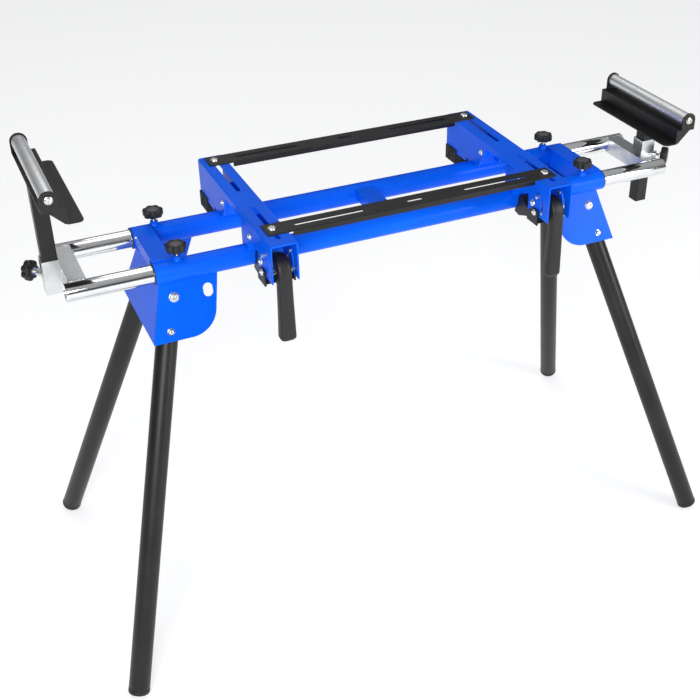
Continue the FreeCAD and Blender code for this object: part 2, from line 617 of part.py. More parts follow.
def rollerHead(end, way, axisZ):
    """Folded sheet under the roller: shelf, inner wall, foot flange, end gussets and two ears."""
    name = f"Head{end}"
    gauge = "sheetGauge"
    section = slab(f"{name}Section", "XZ_Plane", [
        ("earRadius", "-shelfDrop"), ("-wallOffset - sheetGauge", "-shelfDrop"),
        ("-wallOffset - sheetGauge", "-wallFoot"), ("-flangeReach", "-wallFoot"),
        ("-flangeReach", "-wallFoot - sheetGauge"), ("-wallOffset", "-wallFoot - sheetGauge"),
        ("-wallOffset", "-shelfDrop - sheetGauge"), ("earRadius", "-shelfDrop - sheetGauge")],
        "headHalfLength * 2")
    corners = [Vector(-sizes["flangeReach"], facing * sizes["headHalfLength"], 0) for facing in (-1, 1)]
    rounded(section, f"{name}Corners", Vector(0, 0, 1), corners, "flangeCorner")
    pieces = [section]
    for side, facing in sides.items():
        edge = signed(facing, "headHalfLength - sheetGauge / 2")
        start = signed(facing, "headHalfLength - sheetGauge") if facing > 0 else "-headHalfLength"
        gusset = slab(f"{name}Gusset{side}", "XZ_Plane", [
            ("gussetReach", "-shelfDrop - sheetGauge / 2"), ("-wallOffset - 1", "-shelfDrop - 1"),
            ("-wallOffset - 1", "-wallFoot - 1"), ("-wallOffset + 3", "-wallFoot - 1")], gauge)
        pieces.append(at(gusset, ("0", edge, "0")))
        pieces.append(box(f"{name}Ear{side}", ("earRadius * 2", gauge, "shelfDrop + sheetGauge / 2"),
                          ("0", edge, "-shelfDrop - sheetGauge / 2")))
        pieces.append(cylinder(f"{name}Round{side}", "earRadius", gauge, ("0", start, "0"), alongY))
    bore = cylinder(f"{name}Bore", "axleRadius + axleFit", "headHalfLength * 3",
                    ("0", "-headHalfLength * 1.5", "0"), alongY)
    item = cut(name, fuse(f"{name}Weld", pieces), [bore])
    item.Placement = Placement(Vector(), alongZ if way > 0 else halfTurn)
    bind(item, "Placement.Base.x", signed(way, socketX))
    bind(item, "Placement.Base.z", axisZ)
    return keep(item, f"roller_bracket_{end}")


def roller(end, way, axisZ):
    """A thin tube with a plug and bore at each end."""
    half = "(headHalfLength - sheetGauge - rollerGap)"
    bore = "axleRadius + axleFit"
    inner = "rollerRadius - rollerWall"
    body = turned(f"Roller{end}", [
        (bore, f"-{half}"), ("rollerRadius", f"-{half}"), ("rollerRadius", half), (bore, half),
        (bore, f"{half} - rollerPlug"), (inner, f"{half} - rollerPlug"),
        (inner, f"rollerPlug - {half}"), (bore, f"rollerPlug - {half}")])
    at(body, (signed(way, socketX), "0", axisZ), alongY)
    return keep(body, f"roller_{end}")


def axle(end, way, axisZ):
    """The rod through the roller, with a round head outside each ear."""
    reach = "headHalfLength"
    cap = "axleHeadHeight"
    body = turned(f"Axle{end}", [
        ("0", f"-{reach} - {cap}"), ("axleHeadRadius * 0.7", f"-{reach} - {cap}"),
        ("axleHeadRadius", f"-{reach} - {cap} / 2"), ("axleHeadRadius", f"-{reach}"),
        ("axleRadius", f"-{reach}"), ("axleRadius", reach), ("axleHeadRadius", reach),
        ("axleHeadRadius", f"{reach} + {cap} / 2"), ("axleHeadRadius * 0.7", f"{reach} + {cap}"),
        ("0", f"{reach} + {cap}")])
    at(body, (signed(way, socketX), "0", axisZ), alongY)
    return keep(body, f"roller_axle_{end}")


for end, way in ends.items():
    axisZ = "rollerZRight" if way > 0 else "rollerZLeft"
    post(end, way, axisZ)
    rollerHead(end, way, axisZ)
    roller(end, way, axisZ)
    axle(end, way, axisZ)

# ---- saw brackets of the carriage ----


def slotTool(name, x, startY, endY, width, z, depth):
    """A round-ended slot along Y, cut down from a height."""
    middle = f"({startY} + {endY}) / 2"
    tools = [box(f"{name}Mid", (width, f"{endY} - ({startY}) - {width}", depth), (x, middle, z))]
    for spot, words in (("Start", f"{startY} + {width} / 2"), ("End", f"{endY} - {width} / 2")):
        tools.append(cylinder(f"{name}{spot}", f"{width} / 2", depth, (x, words, z)))
    return tools


def sawBracket(end, way):
    """An inverted channel over both rails, open to the front, with notches for the rails and jaw."""
    name = f"SawBracket{end}"
    x = signed(way, "sawX")
    channel = slab(f"{name}Channel", "XZ_Plane", [
        ("-sawWidth / 2", "sawTopZ - sawDepth"), ("-sawWidth / 2 + sheetGauge", "sawTopZ - sawDepth"),
        ("-sawWidth / 2 + sheetGauge", "sawTopZ - sheetGauge"),
        ("sawWidth / 2 - sheetGauge", "sawTopZ - sheetGauge"),
        ("sawWidth / 2 - sheetGauge", "sawTopZ - sawDepth"), ("sawWidth / 2", "sawTopZ - sawDepth"),
        ("sawWidth / 2", "sawTopZ"), ("-sawWidth / 2", "sawTopZ")], "sawFrontY + sawRearY")
    at(channel, (x, "(sawRearY - sawFrontY) / 2", "0"))
    below = "railHeight - railRadius"
    notch = slab(f"{name}Notch", "YZ_Plane", [
        ("railSpacing / 2 + railRadius + 1.5", below), ("railSpacing / 2 + railRadius + 1.5", "railSeatZ"),
        ("railSpacing / 2 - 30", "railSeatZ"), ("railSpacing / 2 - 45", "jawNotchZ"),
        ("railSpacing / 2 - 56", "archTopZ"), ("-railSpacing / 2 - 10", "archTopZ"),
        ("-railSpacing / 2 - 22", "jawNotchZ"), ("-leverY + 16", "jawNotchZ"), ("-leverY + 16", below)],
        "sawWidth * 1.5")
    at(notch, (x, "0", "0"))
    tools = [notch]
    tools += slotTool(f"{name}FrontSlot", x, "-frontSlotY", "-frontSlotEndY", "slotWidth",
                      "sawTopZ - sheetGauge * 2", "sheetGauge * 3")
    tools += slotTool(f"{name}RearSlot", x, "rearSlotY", "rearSlotEndY", "slotWidth",
                      "sawTopZ - sheetGauge * 2", "sheetGauge * 3")
    start = signed(way, "sawX") + " - sawWidth"
    width = "sawWidth * 2"
    for spot, y, z, radius in (("Lever", "-leverY", "leverZ", "boltRadius"),
                               ("Jaw", "-jawY", "jawZ", "jawBoltRadius"),
                               ("Hex", "-hexY", "hexZ", "axleRadius"),
                               ("RestFront", "-railSpacing / 2 - restOffset", "restBoltZ", "restBoltRadius"),
                               ("RestRear", "railSpacing / 2 - restOffset", "restBoltZ", "restBoltRadius")):
        tools.append(cylinder(f"{name}{spot}Hole", radius, width, (start, y, z), alongX))
    tools.append(guideSlot(name, way))
    return keep(cut(name, channel, tools), f"saw_bracket_{end}")


def guideSlot(name, way):
    """The curved slot that the lever's guide pin runs in: a ring sector about the lever's pivot."""
    base = (signed(way, "sawX") + " - sawWidth", "-leverY", "leverZ")
    ring = []
    for part, radius in (("Outer", "guideRadius + guideSlotWidth / 2"),
                         ("Inner", "guideRadius - guideSlotWidth / 2")):
        item = cylinder(f"{name}Guide{part}", radius, "sawWidth * 2", base, guideTurn())
        bind(item, "Angle", "guideSweep")
        ring.append(item)
    sector = cut(f"{name}GuideSector", ring[0], [ring[1]])
    rounds = []
    for spot, angle in (("Low", sizes["guideStart"]), ("High", sizes["guideStart"] + sizes["guideSweep"])):
        y, z = guidePoint(angle)
        rounds.append(cylinder(f"{name}Guide{spot}", "guideSlotWidth / 2", "sawWidth * 2",
                               (base[0], f"{y}", f"{z}"), alongX))
    return fuse(f"{name}Guide", [sector] + rounds)


def guidePoint(angle):
    """A point of the guide arc: the angle is measured up from straight forward."""
    radians = math.radians(angle)
    y = -sizes["leverY"] - sizes["guideRadius"] * math.cos(radians)
    z = sizes["leverZ"] + sizes["guideRadius"] * math.sin(radians)
    return y, z


def guideTurn():
    """Turn a cylinder's sector so that it starts at the arc's upper end and sweeps down."""
    top = math.radians(sizes["guideStart"] + sizes["guideSweep"])
    start = Vector(0, -math.cos(top), math.sin(top))
    return Rotation(start, Vector(1, 0, 0).cross(start), Vector(1, 0, 0), "ZXY")


def railRests(end, way):
    """Two blocks inside the channel, each hollowed to ride on a rail."""
    blocks = []
    for side, facing in sides.items():
        name = f"Rest{end}{side}"
        y = signed(facing, "railSpacing / 2")
        block = slab(f"{name}Block", "YZ_Plane", [
            (f"{y} - restReach", "archTopZ - restDepth"), (f"{y} - restReach", "archTopZ - restGap"),
            (f"{y} + restShoe", "archTopZ - restGap"), (f"{y} + restShoe", "railSeatZ - restGap * 2"),
            (f"{y} - restShoe", "railSeatZ - restGap * 2"),
            (f"{y} - restReach / 2", "archTopZ - restDepth")], "sawWidth - sheetGauge * 2 - 0.2")
        at(block, (signed(way, "sawX"), "0", "0"))
        bore = cylinder(f"{name}Bore", "restBoltRadius", "sawWidth * 2",
                        (signed(way, "sawX") + " - sawWidth", f"{y} - restOffset", "restBoltZ"), alongX)
        blocks.append(cut(name, block, [railTool(f"{name}Rail", side, "railRadius + railSeatGap"), bore]))
    return keep(gather(f"Rests{end}", blocks), f"rail_rests_{end}")


def rearPads():
    """A rubber pad over the lower rear corner of each saw bracket."""
    pads = []
    for end, way in ends.items():
        name = f"Pad{end}"
        x = signed(way, "sawX")
        block = box(f"{name}Block", ("sawWidth + padWall * 2", "padLength", "padHeight"),
                    (x, "sawRearY - padCentre", "sawTopZ - sawDepth - padDrop"))
        slits = [box(f"{name}Slit{wall}", ("sheetGauge + 0.1", "padLength * 1.5", "padHeight"),
                     (f"{x} + {wall} * (sawWidth / 2 - sheetGauge / 2)", "sawRearY - padCentre",
                      "sawTopZ - sawDepth"))
                 for wall in (-1, 1)]
        pads.append(cut(name, block, slits))
    return keep(gather("RearPads", pads), "rear_pads")


def crossBolt(name, x, y, z, radius, head):
    """A bolt right across a saw bracket with a head outside each wall."""
    reach = "sawWidth / 2"
    body = turned(name, [
        ("0", f"-{reach} - crossHead"), (f"{head} * 0.75", f"-{reach} - crossHead"),
        (head, f"-{reach} - crossHead / 2"), (head, f"-{reach}"), (radius, f"-{reach}"), (radius, reach),
        (head, reach), (head, f"{reach} + crossHead / 2"), (f"{head} * 0.75", f"{reach} + crossHead"),
        ("0", f"{reach} + crossHead")])
    return at(body, (x, y, z), alongX)


def hexStub(name, x, facing):
    """A large plated bolt held in one wall of a saw bracket."""
    reach = "sawWidth / 2"
    body = turned(name, [
        ("0", f"{reach} - sheetGauge * 2"), ("axleRadius", f"{reach} - sheetGauge * 2"),
        ("axleRadius", reach), ("hexRadius", reach), ("hexRadius", f"{reach} + hexHeight * 2 / 3"),
        ("hexRadius * 0.8", f"{reach} + hexHeight"), ("0", f"{reach} + hexHeight")])
    return at(body, (x, "-hexY", "hexZ"), Rotation(Vector(0, 0, 1), Vector(facing, 0, 0)))


def jawBolt(name, x):
    """The jaw's pivot: one bolt through both cheeks and both walls."""
    reach = "sawWidth / 2 + jawGap + jawPlateGauge + 0.3"
    body = turned(name, [
        ("0", f"-({reach}) - 3"), ("jawBoltHead", f"-({reach}) - 3"), ("jawBoltHead", f"-({reach})"),
        ("jawBoltRadius", f"-({reach})"), ("jawBoltRadius", reach), ("jawBoltHead", reach),
        ("jawBoltHead", f"{reach} + 3"), ("0", f"{reach} + 3")])
    return at(body, (x, "-jawY", "jawZ"), alongX)


def clampBolts(end, way):
    x = signed(way, "sawX")
    rests = [("Front", "-railSpacing / 2 - restOffset"), ("Rear", "railSpacing / 2 - restOffset")]
    bolts = [crossBolt(f"RestBolt{end}{spot}", x, y, "restBoltZ", "restBoltRadius", "jawBoltHead")
             for spot, y in rests]
    bolts.append(crossBolt(f"LeverBolt{end}", x, "-leverY", "leverZ", "boltRadius", "leverBoltHead"))
    bolts += [hexStub(f"HexBolt{end}{facing + 1}", x, facing) for facing in (-1, 1)]
    bolts.append(jawBolt(f"JawBolt{end}", x))
    return keep(gather(f"ClampBolts{end}", bolts), f"clamp_bolts_{end}")


def lever(end, way):
    """A moulded clamp lever: pivot and guide pin inside the channel, the grip hanging in front."""
    name = f"Lever{end}"
    grip = slab(f"{name}Grip", "YZ_Plane", [
        ("-leverY + leverHeel", "leverZ - leverUnder"), ("-leverY + leverHeel", "leverZ + leverUnder"),
        ("-leverY - leverUnder", "leverZ + leverHead"), ("-leverY - leverBack", "leverZ + leverHead"),
        ("-leverY - leverFront + leverUnder", "leverZ + leverHead - 5"),
        ("-leverY - leverFront", "leverZ - leverHead"),
        ("-leverY - leverFront", "leverZ - leverTip + leverTaper"),
        ("-leverY - leverFront + 3", "leverZ - leverTip"), ("-leverY - leverBack - 3", "leverZ - leverTip"),
        ("-leverY - leverBack + 2", "leverZ - leverTip + leverTaper"),
        ("-leverY - leverBack", "leverZ - leverBack"),
        ("-leverY - leverBack + leverUnder", "leverZ - leverUnder")], "leverWidth")
    soften(grip, f"{name}Soft", lambda edge: edge.BoundBox.XLength < 0.01, "leverRound")
    at(grip, (signed(way, "sawX"), "0", "0"))
    y, z = guidePoint(sizes["guideStart"])
    pin = cylinder(f"{name}Pin", "guidePinRadius", "sawWidth - 0.4",
                   (signed(way, "sawX") + " - sawWidth / 2 + 0.2", f"{y}", f"{z}"), alongX)
    bore = cylinder(f"{name}Bore", "boltRadius + boltFit", "sawWidth",
                    (signed(way, "sawX") + " - sawWidth / 2", "-leverY", "leverZ"), alongX)
    return keep(cut(name, fuse(f"{name}Whole", [grip, pin]), [bore]), f"clamp_lever_{end}")


def jaw(end, way):
    """Two cheeks outside the channel, a strap under it and the hook that bears on the front rail."""
    name = f"Jaw{end}"
    x = signed(way, "sawX")
    pieces = []
    for facing in (-1, 1):
        cheek = slab(f"{name}Cheek{facing + 1}", "YZ_Plane", [
            ("-jawY + cheekRear", "jawZ - jawDrop"), ("-jawY + cheekRear", "jawZ - cheekTop"),
            ("-jawY + cheekRear / 3", "jawZ + cheekTop"), ("-jawY - cheekFront", "jawZ + cheekTop"),
            ("-jawY - cheekFront", "jawZ - jawDrop")], "jawPlateGauge")
        offset = signed(facing, "sawWidth / 2 + jawGap + jawPlateGauge / 2")
        pieces.append(at(cheek, (f"{x} + {offset}", "0", "0")))
    width = "sawWidth + jawGap * 2 + jawPlateGauge * 2"
    pieces.append(box(f"{name}Strap", (width, "strapWidth", "strapGauge"),
                      (x, "-jawY + cheekFront", "jawZ - jawDrop")))
    front = "-railSpacing / 2 - railRadius"
    below = "railHeight - railRadius"
    hook = slab(f"{name}Hook", "YZ_Plane", [
        ("-jawY + cheekFront", "jawZ - jawDrop"), ("-jawY + cheekFront", "jawZ - jawDrop + strapGauge"),
        (f"{front} - 30", "jawZ - jawDrop + strapGauge * 2"), (f"{front} - 14", "railHeight + hookRise"),
        (f"{front} - 4", "railHeight + hookRise"), (f"{front} - 2", "railHeight + hookRise / 2"),
        (f"{front} + hookReach", f"{below} - hookWall / 2"), (f"{front} - hookWall", f"{below} - hookWall"),
        (f"{front} - 30", "railHeight - hookRise")], "hookWidth")
    pieces.append(at(hook, (x, "0", "0")))
    rail = railTool(f"{name}Rail", "front", "railRadius + hookGap")
    bore = cylinder(f"{name}Bore", "jawBoltRadius + boltFit", "sawWidth * 2",
                    (f"{x} - sawWidth", "-jawY", "jawZ"), alongX)
    return keep(cut(name, fuse(f"{name}Weld", pieces), [rail, bore]), f"clamp_jaw_{end}")


for end, way in ends.items():
    sawBracket(end, way)
    railRests(end, way)
    clampBolts(end, way)
    lever(end, way)
    jaw(end, way)
rearPads()

# ---- mounting bars ----


def alongSlot(name, x, y, length, z):
    """A round-ended slot along X through a mounting bar."""
    width = "barSlotWidth"
    tools = [box(f"{name}Mid", (f"{length} - {width}", width, "barGauge * 3"), (x, y, z))]
    for spot, sign in (("Start", "-"), ("End", "+")):
        place = (f"{x} {sign} ({length} - {width}) / 2", y, z)
        tools.append(cylinder(f"{name}{spot}", f"{width} / 2", "barGauge * 3", place))
    return tools


def mountingBar(side, y):
    """A flat bar with two folded edges, two long slots, a short one and a bolt hole at each end."""
    name = f"Bar{side}"
    top = box(f"{name}Top", ("barHalfLength * 2", "barWidth", "barGauge"), ("0", y, "sawTopZ"))
    pieces = [top]
    for facing in (-1, 1):
        edge = f"{y} + {facing} * (barWidth / 2 - barGauge / 2)"
        pieces.append(box(f"{name}Fold{facing + 1}", ("barFoldHalf * 2", "barGauge", "barFoldDepth"),
                          ("0", edge, "sawTopZ + barGauge - barFoldDepth")))
    below = "sawTopZ - barGauge"
    tools = alongSlot(f"{name}MidSlot", "0", y, "barMidSlotLength", below)
    for end, way in ends.items():
        tools += alongSlot(f"{name}Slot{end}", signed(way, "barSlotX"), y, "barSlotLength", below)
        tools.append(cylinder(f"{name}Hole{end}", "barBoltRadius", "barGauge * 3",
                              (signed(way, "sawX"), y, below)))
    return keep(cut(name, fuse(f"{name}Sheet", pieces), tools), f"mounting_bar_{side}")


def barBolt(name, x, y):
    """A round-headed bolt from a bar down through a bracket's slot to its nut."""
    body = turned(name, [
        ("0", "barGauge + 3.5"), ("barBoltHead * 0.6", "barGauge + 3.2"), ("barBoltHead", "barGauge + 1"),
        ("barBoltHead", "barGauge"), ("barBoltRadius", "barGauge"), ("barBoltRadius", "-sheetGauge"),
        ("barBoltHead", "-sheetGauge"), ("barBoltHead", "-sheetGauge - 5"), ("0", "-sheetGauge - 5")])
    return at(body, (x, y, "sawTopZ"))


barBolts = []
for side, y in (("front", "-barFrontY"), ("rear", "barRearY")):
    mountingBar(side, y)
    for end, way in ends.items():
        barBolts.append(barBolt(f"BarBolt{side}{end}", signed(way, "sawX"), y))
keep(gather("BarBolts", barBolts), "bar_bolts")

# ---- recompute, check and write ----

doc.recompute()
failed = [item.Name for item in doc.Objects if {"Invalid", "Error"} & set(item.State)]
if failed:
    raise RuntimeError(f"objects failed to recompute: {failed}")
for item in nodes:
    if item.Shape.isNull() or not item.Shape.isValid():
        raise RuntimeError(f"{item.Label} has no valid shape")

os.makedirs("parts", exist_ok=True)
for item in nodes:
    item.Shape.exportStep(f"parts/{item.Label}.step")
print(len(nodes), "sub-parts written")
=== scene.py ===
import json
import math

import bmesh
import bpy
import numpy as np
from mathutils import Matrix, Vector


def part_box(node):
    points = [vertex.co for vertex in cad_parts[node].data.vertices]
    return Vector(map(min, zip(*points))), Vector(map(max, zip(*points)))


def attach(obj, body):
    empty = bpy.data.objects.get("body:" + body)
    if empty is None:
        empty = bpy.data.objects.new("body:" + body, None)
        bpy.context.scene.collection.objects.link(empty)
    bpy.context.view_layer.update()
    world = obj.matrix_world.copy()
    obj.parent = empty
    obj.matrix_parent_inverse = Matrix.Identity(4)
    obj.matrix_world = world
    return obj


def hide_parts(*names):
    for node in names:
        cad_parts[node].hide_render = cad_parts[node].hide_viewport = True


# A folding work stand for a mitre saw, with its finishes. All lengths are in metres, and X runs along the
# rails, Y to the rear and Z up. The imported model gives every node's place; this file gives the looks.

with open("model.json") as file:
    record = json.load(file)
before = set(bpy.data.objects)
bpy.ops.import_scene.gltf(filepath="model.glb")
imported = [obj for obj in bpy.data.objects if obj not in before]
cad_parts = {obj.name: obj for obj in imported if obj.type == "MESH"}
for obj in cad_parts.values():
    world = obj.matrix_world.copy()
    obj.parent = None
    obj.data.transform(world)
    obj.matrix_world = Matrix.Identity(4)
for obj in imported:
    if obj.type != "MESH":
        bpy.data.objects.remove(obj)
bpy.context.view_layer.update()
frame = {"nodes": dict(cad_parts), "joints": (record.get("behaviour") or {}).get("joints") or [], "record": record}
behaviour = frame["record"]["behaviour"]
bodyOf = {node: body for body, members in behaviour["bodies"].items() for node in members}
slotOf = {part["node"]: part["material_slot"] for part in frame["record"]["subparts"]}
joints = {joint["name"]: joint for joint in frame["joints"]}
ends = {"left": -1, "right": 1}
sides = {"front": -1, "rear": 1}
print("frame loaded:", len(frame["nodes"]), "nodes")

# camera and room

cameraSpec = {"place": (-0.793, -1.745, 1.655), "turn": -25.21, "down": 32.66, "lens": 58.87,
              "sensor": 36.0, "shift": (-0.0584, -0.0116)}


def addCamera(spec):
    data = bpy.data.cameras.new("camera")
    data.lens = spec["lens"]
    data.sensor_width = spec["sensor"]
    data.shift_x, data.shift_y = spec["shift"]
    camera = bpy.data.objects.new("camera", data)
    camera.location = spec["place"]
    camera.rotation_euler = (math.radians(90 - spec["down"]), 0, math.radians(spec["turn"]))
    bpy.context.scene.collection.objects.link(camera)
    bpy.context.scene.camera = camera


class Signal:
    # one output of a node, so that sums on numbers read as sums

    def __init__(self, maker, socket):
        self.maker = maker
        self.socket = socket

    def sum(self, operation, first, second):
        return self.maker.node("ShaderNodeMath", {"operation": operation}, {0: first, 1: second})

    def __add__(self, other):
        return self.sum("ADD", self, other)

    def __radd__(self, other):
        return self.sum("ADD", other, self)

    def __sub__(self, other):
        return self.sum("SUBTRACT", self, other)

    def __rsub__(self, other):
        return self.sum("SUBTRACT", other, self)

    def __mul__(self, other):
        return self.sum("MULTIPLY", self, other)

    def __rmul__(self, other):
        return self.sum("MULTIPLY", other, self)


class NodeMaker:
    # puts nodes into one tree: every node comes from the method below

    def __init__(self, tree):
        self.tree = tree

    def node(self, kind, settings=None, sockets=None, output=0):
        made = self.tree.nodes.new(kind)
        for name, value in (settings or {}).items():
            if name == "stops":
                ramp = made.color_ramp
                while len(ramp.elements) < len(value):
                    ramp.elements.new(1.0)
                for stop, (position, colour) in zip(ramp.elements, value):
                    stop.position = position
                    stop.color = (*colour, 1.0)
            else:
                setattr(made, name, value)
        for name, value in (sockets or {}).items():
            self.feed(made.inputs[name], value)
        return Signal(self, made.outputs[output])

    def feed(self, socket, value):
        if isinstance(value, Signal):
            self.tree.links.new(value.socket, socket)
        elif socket.type == "RGBA":
            socket.default_value = (*value, 1.0)
        else:
            socket.default_value = value

    def place(self, stretch=(1, 1, 1)):
        # the surface's own place, stretched along the axes
        place = self.node("ShaderNodeTexCoord", output="Object")
        return self.node("ShaderNodeMapping", sockets={"Vector": place, "Scale": stretch})

    def noise(self, scale, detail=2.0, stretch=(1, 1, 1)):
        return self.node("ShaderNodeTexNoise", sockets={"Vector": self.place(stretch), "Scale": scale,
                                                        "Detail": detail})

    def between(self, signal, low, high):
        # 0 where the signal is at low or under it, 1 where it is at high or over it
        return self.node("ShaderNodeMapRange", {"clamp": True},
                         {"Value": signal, "From Min": low, "From Max": high})

    def mixed(self, mask, first, second):
        return self.node("ShaderNodeMix", {"data_type": "RGBA"}, {0: mask, 6: first, 7: second}, 2)

    def bump(self, height, depth):
        return self.node("ShaderNodeBump", sockets={"Height": height, "Distance": depth, "Strength": 1.0})


class Finish(NodeMaker):
    # a material: constants go straight onto the shader, changing values come by feedShader

    def __init__(self, name, **constants):
        self.material = bpy.data.materials.new(name)
        self.material.use_nodes = True
        super().__init__(self.material.node_tree)
        self.shader = self.tree.nodes["Principled BSDF"]
        for key, value in constants.items():
            self.feed(self.shader.inputs[key.replace("_", " ")], value)

    def feedShader(self, **signals):
        for key, value in signals.items():
            self.feed(self.shader.inputs[key.replace("_", " ")], value)
        return self.material


enamelSpec = {"light": (0.0, 0.12, 0.9), "deep": (0.0, 0.098, 0.76), "gloss": 0.3, "coat": 0.03,
              "peel": 420.0}


def blueEnamel(spec):
    # thick glossy powder coat: slow drifts of depth, orange peel, and a few fine rubs from handling
    finish = Finish("blueEnamel", Coat_Roughness=0.1, Specular_IOR_Level=0.09)
    drift = finish.noise(9.0, 3.0)
    speck = finish.between(finish.noise(260.0, 4.0), 0.66, 0.74)
    rubs = finish.between(finish.noise(60.0, 5.0, (1.0, 9.0, 9.0)), 0.64, 0.72)
    colour = finish.mixed(finish.between(drift, 0.3, 0.7), spec["deep"], spec["light"])
    colour = finish.mixed(speck * 0.25, colour, (0.05, 0.2, 0.85))
    peel = finish.noise(spec["peel"], 1.0) + finish.noise(spec["peel"] * 3, 2.0) * 0.3
    return finish.feedShader(Base_Color=colour, Roughness=spec["gloss"] + drift * 0.08 + rubs * 0.16,
                             Coat_Weight=spec["coat"] - rubs * spec["coat"] * 0.6,
                             Normal=finish.bump(peel, 0.00006))


blackCoatSpec = {"base": (0.006, 0.006, 0.0062), "dusty": (0.017, 0.0165, 0.016), "gloss": 0.33,
                 "grain": 1500.0}


def blackCoat(spec):
    # thin satin powder coat: a fine pebbled skin that dulls in patches, with pale dust in the pebbles
    finish = Finish("blackCoat", Specular_IOR_Level=0.34)
    drift = finish.noise(14.0, 4.0)
    pebble = finish.noise(spec["grain"], 2.0)
    colour = finish.mixed(finish.between(pebble * 0.5 + drift * 0.5, 0.45, 0.7), spec["base"], spec["dusty"])
    return finish.feedShader(Base_Color=colour, Roughness=spec["gloss"] + drift * 0.16,
                             Normal=finish.bump(pebble, 0.00005))


def plated(name, base, cloudy, gloss, streak, drawn, depth):
    # bright metal: drawing lines along the streak's short axis, faint clouds and darker specks in the plating
    finish = Finish(name, Metallic=1.0)
    lines = finish.noise(drawn, 3.0, streak)
    clouds = finish.noise(38.0, 4.0)
    specks = finish.between(finish.noise(520.0, 3.0), 0.68, 0.76)
    colour = finish.mixed(finish.between(clouds, 0.35, 0.75), base, cloudy)
    colour = finish.mixed(specks * 0.5, colour, tuple(part * 0.55 for part in cloudy))
    return finish.feedShader(Base_Color=colour, Roughness=gloss + lines * gloss * 0.5 + clouds * gloss * 0.7,
                             Normal=finish.bump(lines, depth))


mouldedSpec = {"base": (0.0055, 0.0053, 0.0053), "worn": (0.015, 0.0143, 0.0136), "gloss": 0.34,
               "grain": 900.0}


def mouldedBlack(spec):
    # spark-textured moulding: small cells, shinier on their tops where hands polish them
    finish = Finish("mouldedBlack", Specular_IOR_Level=0.4)
    cells = finish.node("ShaderNodeTexVoronoi", {"feature": "F1"},
                        {"Vector": finish.place(), "Scale": spec["grain"]}, "Distance")
    drift = finish.noise(30.0, 3.0)
    colour = finish.mixed(finish.between(cells + drift * 0.6, 0.5, 1.1), spec["base"], spec["worn"])
    return finish.feedShader(Base_Color=colour, Roughness=spec["gloss"] + cells * 0.12 + drift * 0.1,
                             Normal=finish.bump(1 - cells, 0.00007))


def padRubber():
    # dull rubber with a chalky bloom
    finish = Finish("padRubber", Specular_IOR_Level=0.3)
    bloom = finish.noise(55.0, 5.0)
    grain = finish.noise(1200.0, 2.0)
    colour = finish.mixed(finish.between(bloom, 0.45, 0.75), (0.012, 0.012, 0.013), (0.04, 0.04, 0.042))
    return finish.feedShader(Base_Color=colour, Roughness=0.62 + bloom * 0.2,
                             Normal=finish.bump(grain, 0.00006))


def capGrey():
    # the lighter plastic disc in a knob's top
    finish = Finish("capGrey", Roughness=0.42)
    speckle = finish.noise(160.0, 3.0)
    return finish.feedShader(Base_Color=finish.mixed(speckle, (0.05, 0.05, 0.052), (0.085, 0.085, 0.088)))


finishes = {
    "blueEnamel": blueEnamel(enamelSpec),
    "blackCoat": blackCoat(blackCoatSpec),
    "tubeChrome": plated("tubeChrome", (0.78, 0.79, 0.8), (0.68, 0.69, 0.7), 0.05, (1, 40, 40), 30.0,
                         0.000004),
    "frostChrome": plated("frostChrome", (0.66, 0.67, 0.675), (0.56, 0.57, 0.58), 0.2, (30, 1, 30), 22.0,
                          0.00001),
    "rollerSatin": plated("rollerSatin", (0.86, 0.87, 0.88), (0.78, 0.79, 0.8), 0.3, (60, 1, 60), 24.0,
                          0.00001),
    "zincPlate": plated("zincPlate", (0.78, 0.79, 0.8), (0.66, 0.66, 0.6), 0.17, (1, 1, 1), 300.0, 0.00002),
    "mouldedBlack": mouldedBlack(mouldedSpec),
    "padRubber": padRubber(),
    "capGrey": capGrey(),
}
slotFinish = {"blue_paint": "blueEnamel", "black_coat": "blackCoat", "chrome": "tubeChrome",
              "satin_aluminium": "rollerSatin", "zinc": "zincPlate", "black_plastic": "mouldedBlack",
              "rubber": "padRubber"}
for name, node in frame["nodes"].items():
    node.data.materials.clear()
    node.data.materials.append(finishes[slotFinish[slotOf[name]]])
print("finishes made:", len(finishes))

# shapes: each is a pair of a point array and a list of faces


def latticeFaces(rows, columns, closeRows):
    # quads of a grid whose columns wrap round: (i, j), (i, j + 1), (i + 1, j + 1), (i + 1, j)
    lines = rows if closeRows else rows - 1
    i, j = np.meshgrid(np.arange(lines), np.arange(columns), indexing="ij")
    nextI, nextJ = (i + 1) % rows, (j + 1) % columns
    quads = np.stack([i * columns + j, i * columns + nextJ, nextI * columns + nextJ, nextI * columns + j], -1)
    return quads.reshape(-1, 4).tolist()


def skin(rings, hollow=False):
    # rings of points, one after another, joined by quads: capped at both ends, or closed into a hoop
    rows, columns = rings.shape[:2]
    faces = latticeFaces(rows, columns, hollow)
    if not hollow:
        faces.append(list(range(columns)))
        faces.append(list(range((rows - 1) * columns, rows * columns)))
    return rings.reshape(-1, 3), faces


def joined(shapes):
    # several shapes as one, with each face counting on from the points before it
    points, faces = [], []
    start = 0
    for shapePoints, shapeFaces in shapes:
        points.append(shapePoints)
        faces += [[index + start for index in face] for face in shapeFaces]
        start += len(shapePoints)
    return np.concatenate(points), faces


def axes(origin, along, across=(0, 0, 1)):
    # a frame whose Z is along and whose X lies as near to across as it can
    z = np.asarray(along, float) / np.linalg.norm(along)
    x = np.asarray(across, float) - z * np.dot(across, z)
    if np.linalg.norm(x) < 1e-6:
        x = np.array([1.0, 0.0, 0.0]) - z * z[0]
    x /= np.linalg.norm(x)
    return np.asarray(origin, float), np.stack([x, np.cross(z, x), z])


def placed(shape, place):
    origin, turn = place
    return shape[0] @ turn + origin, shape[1]


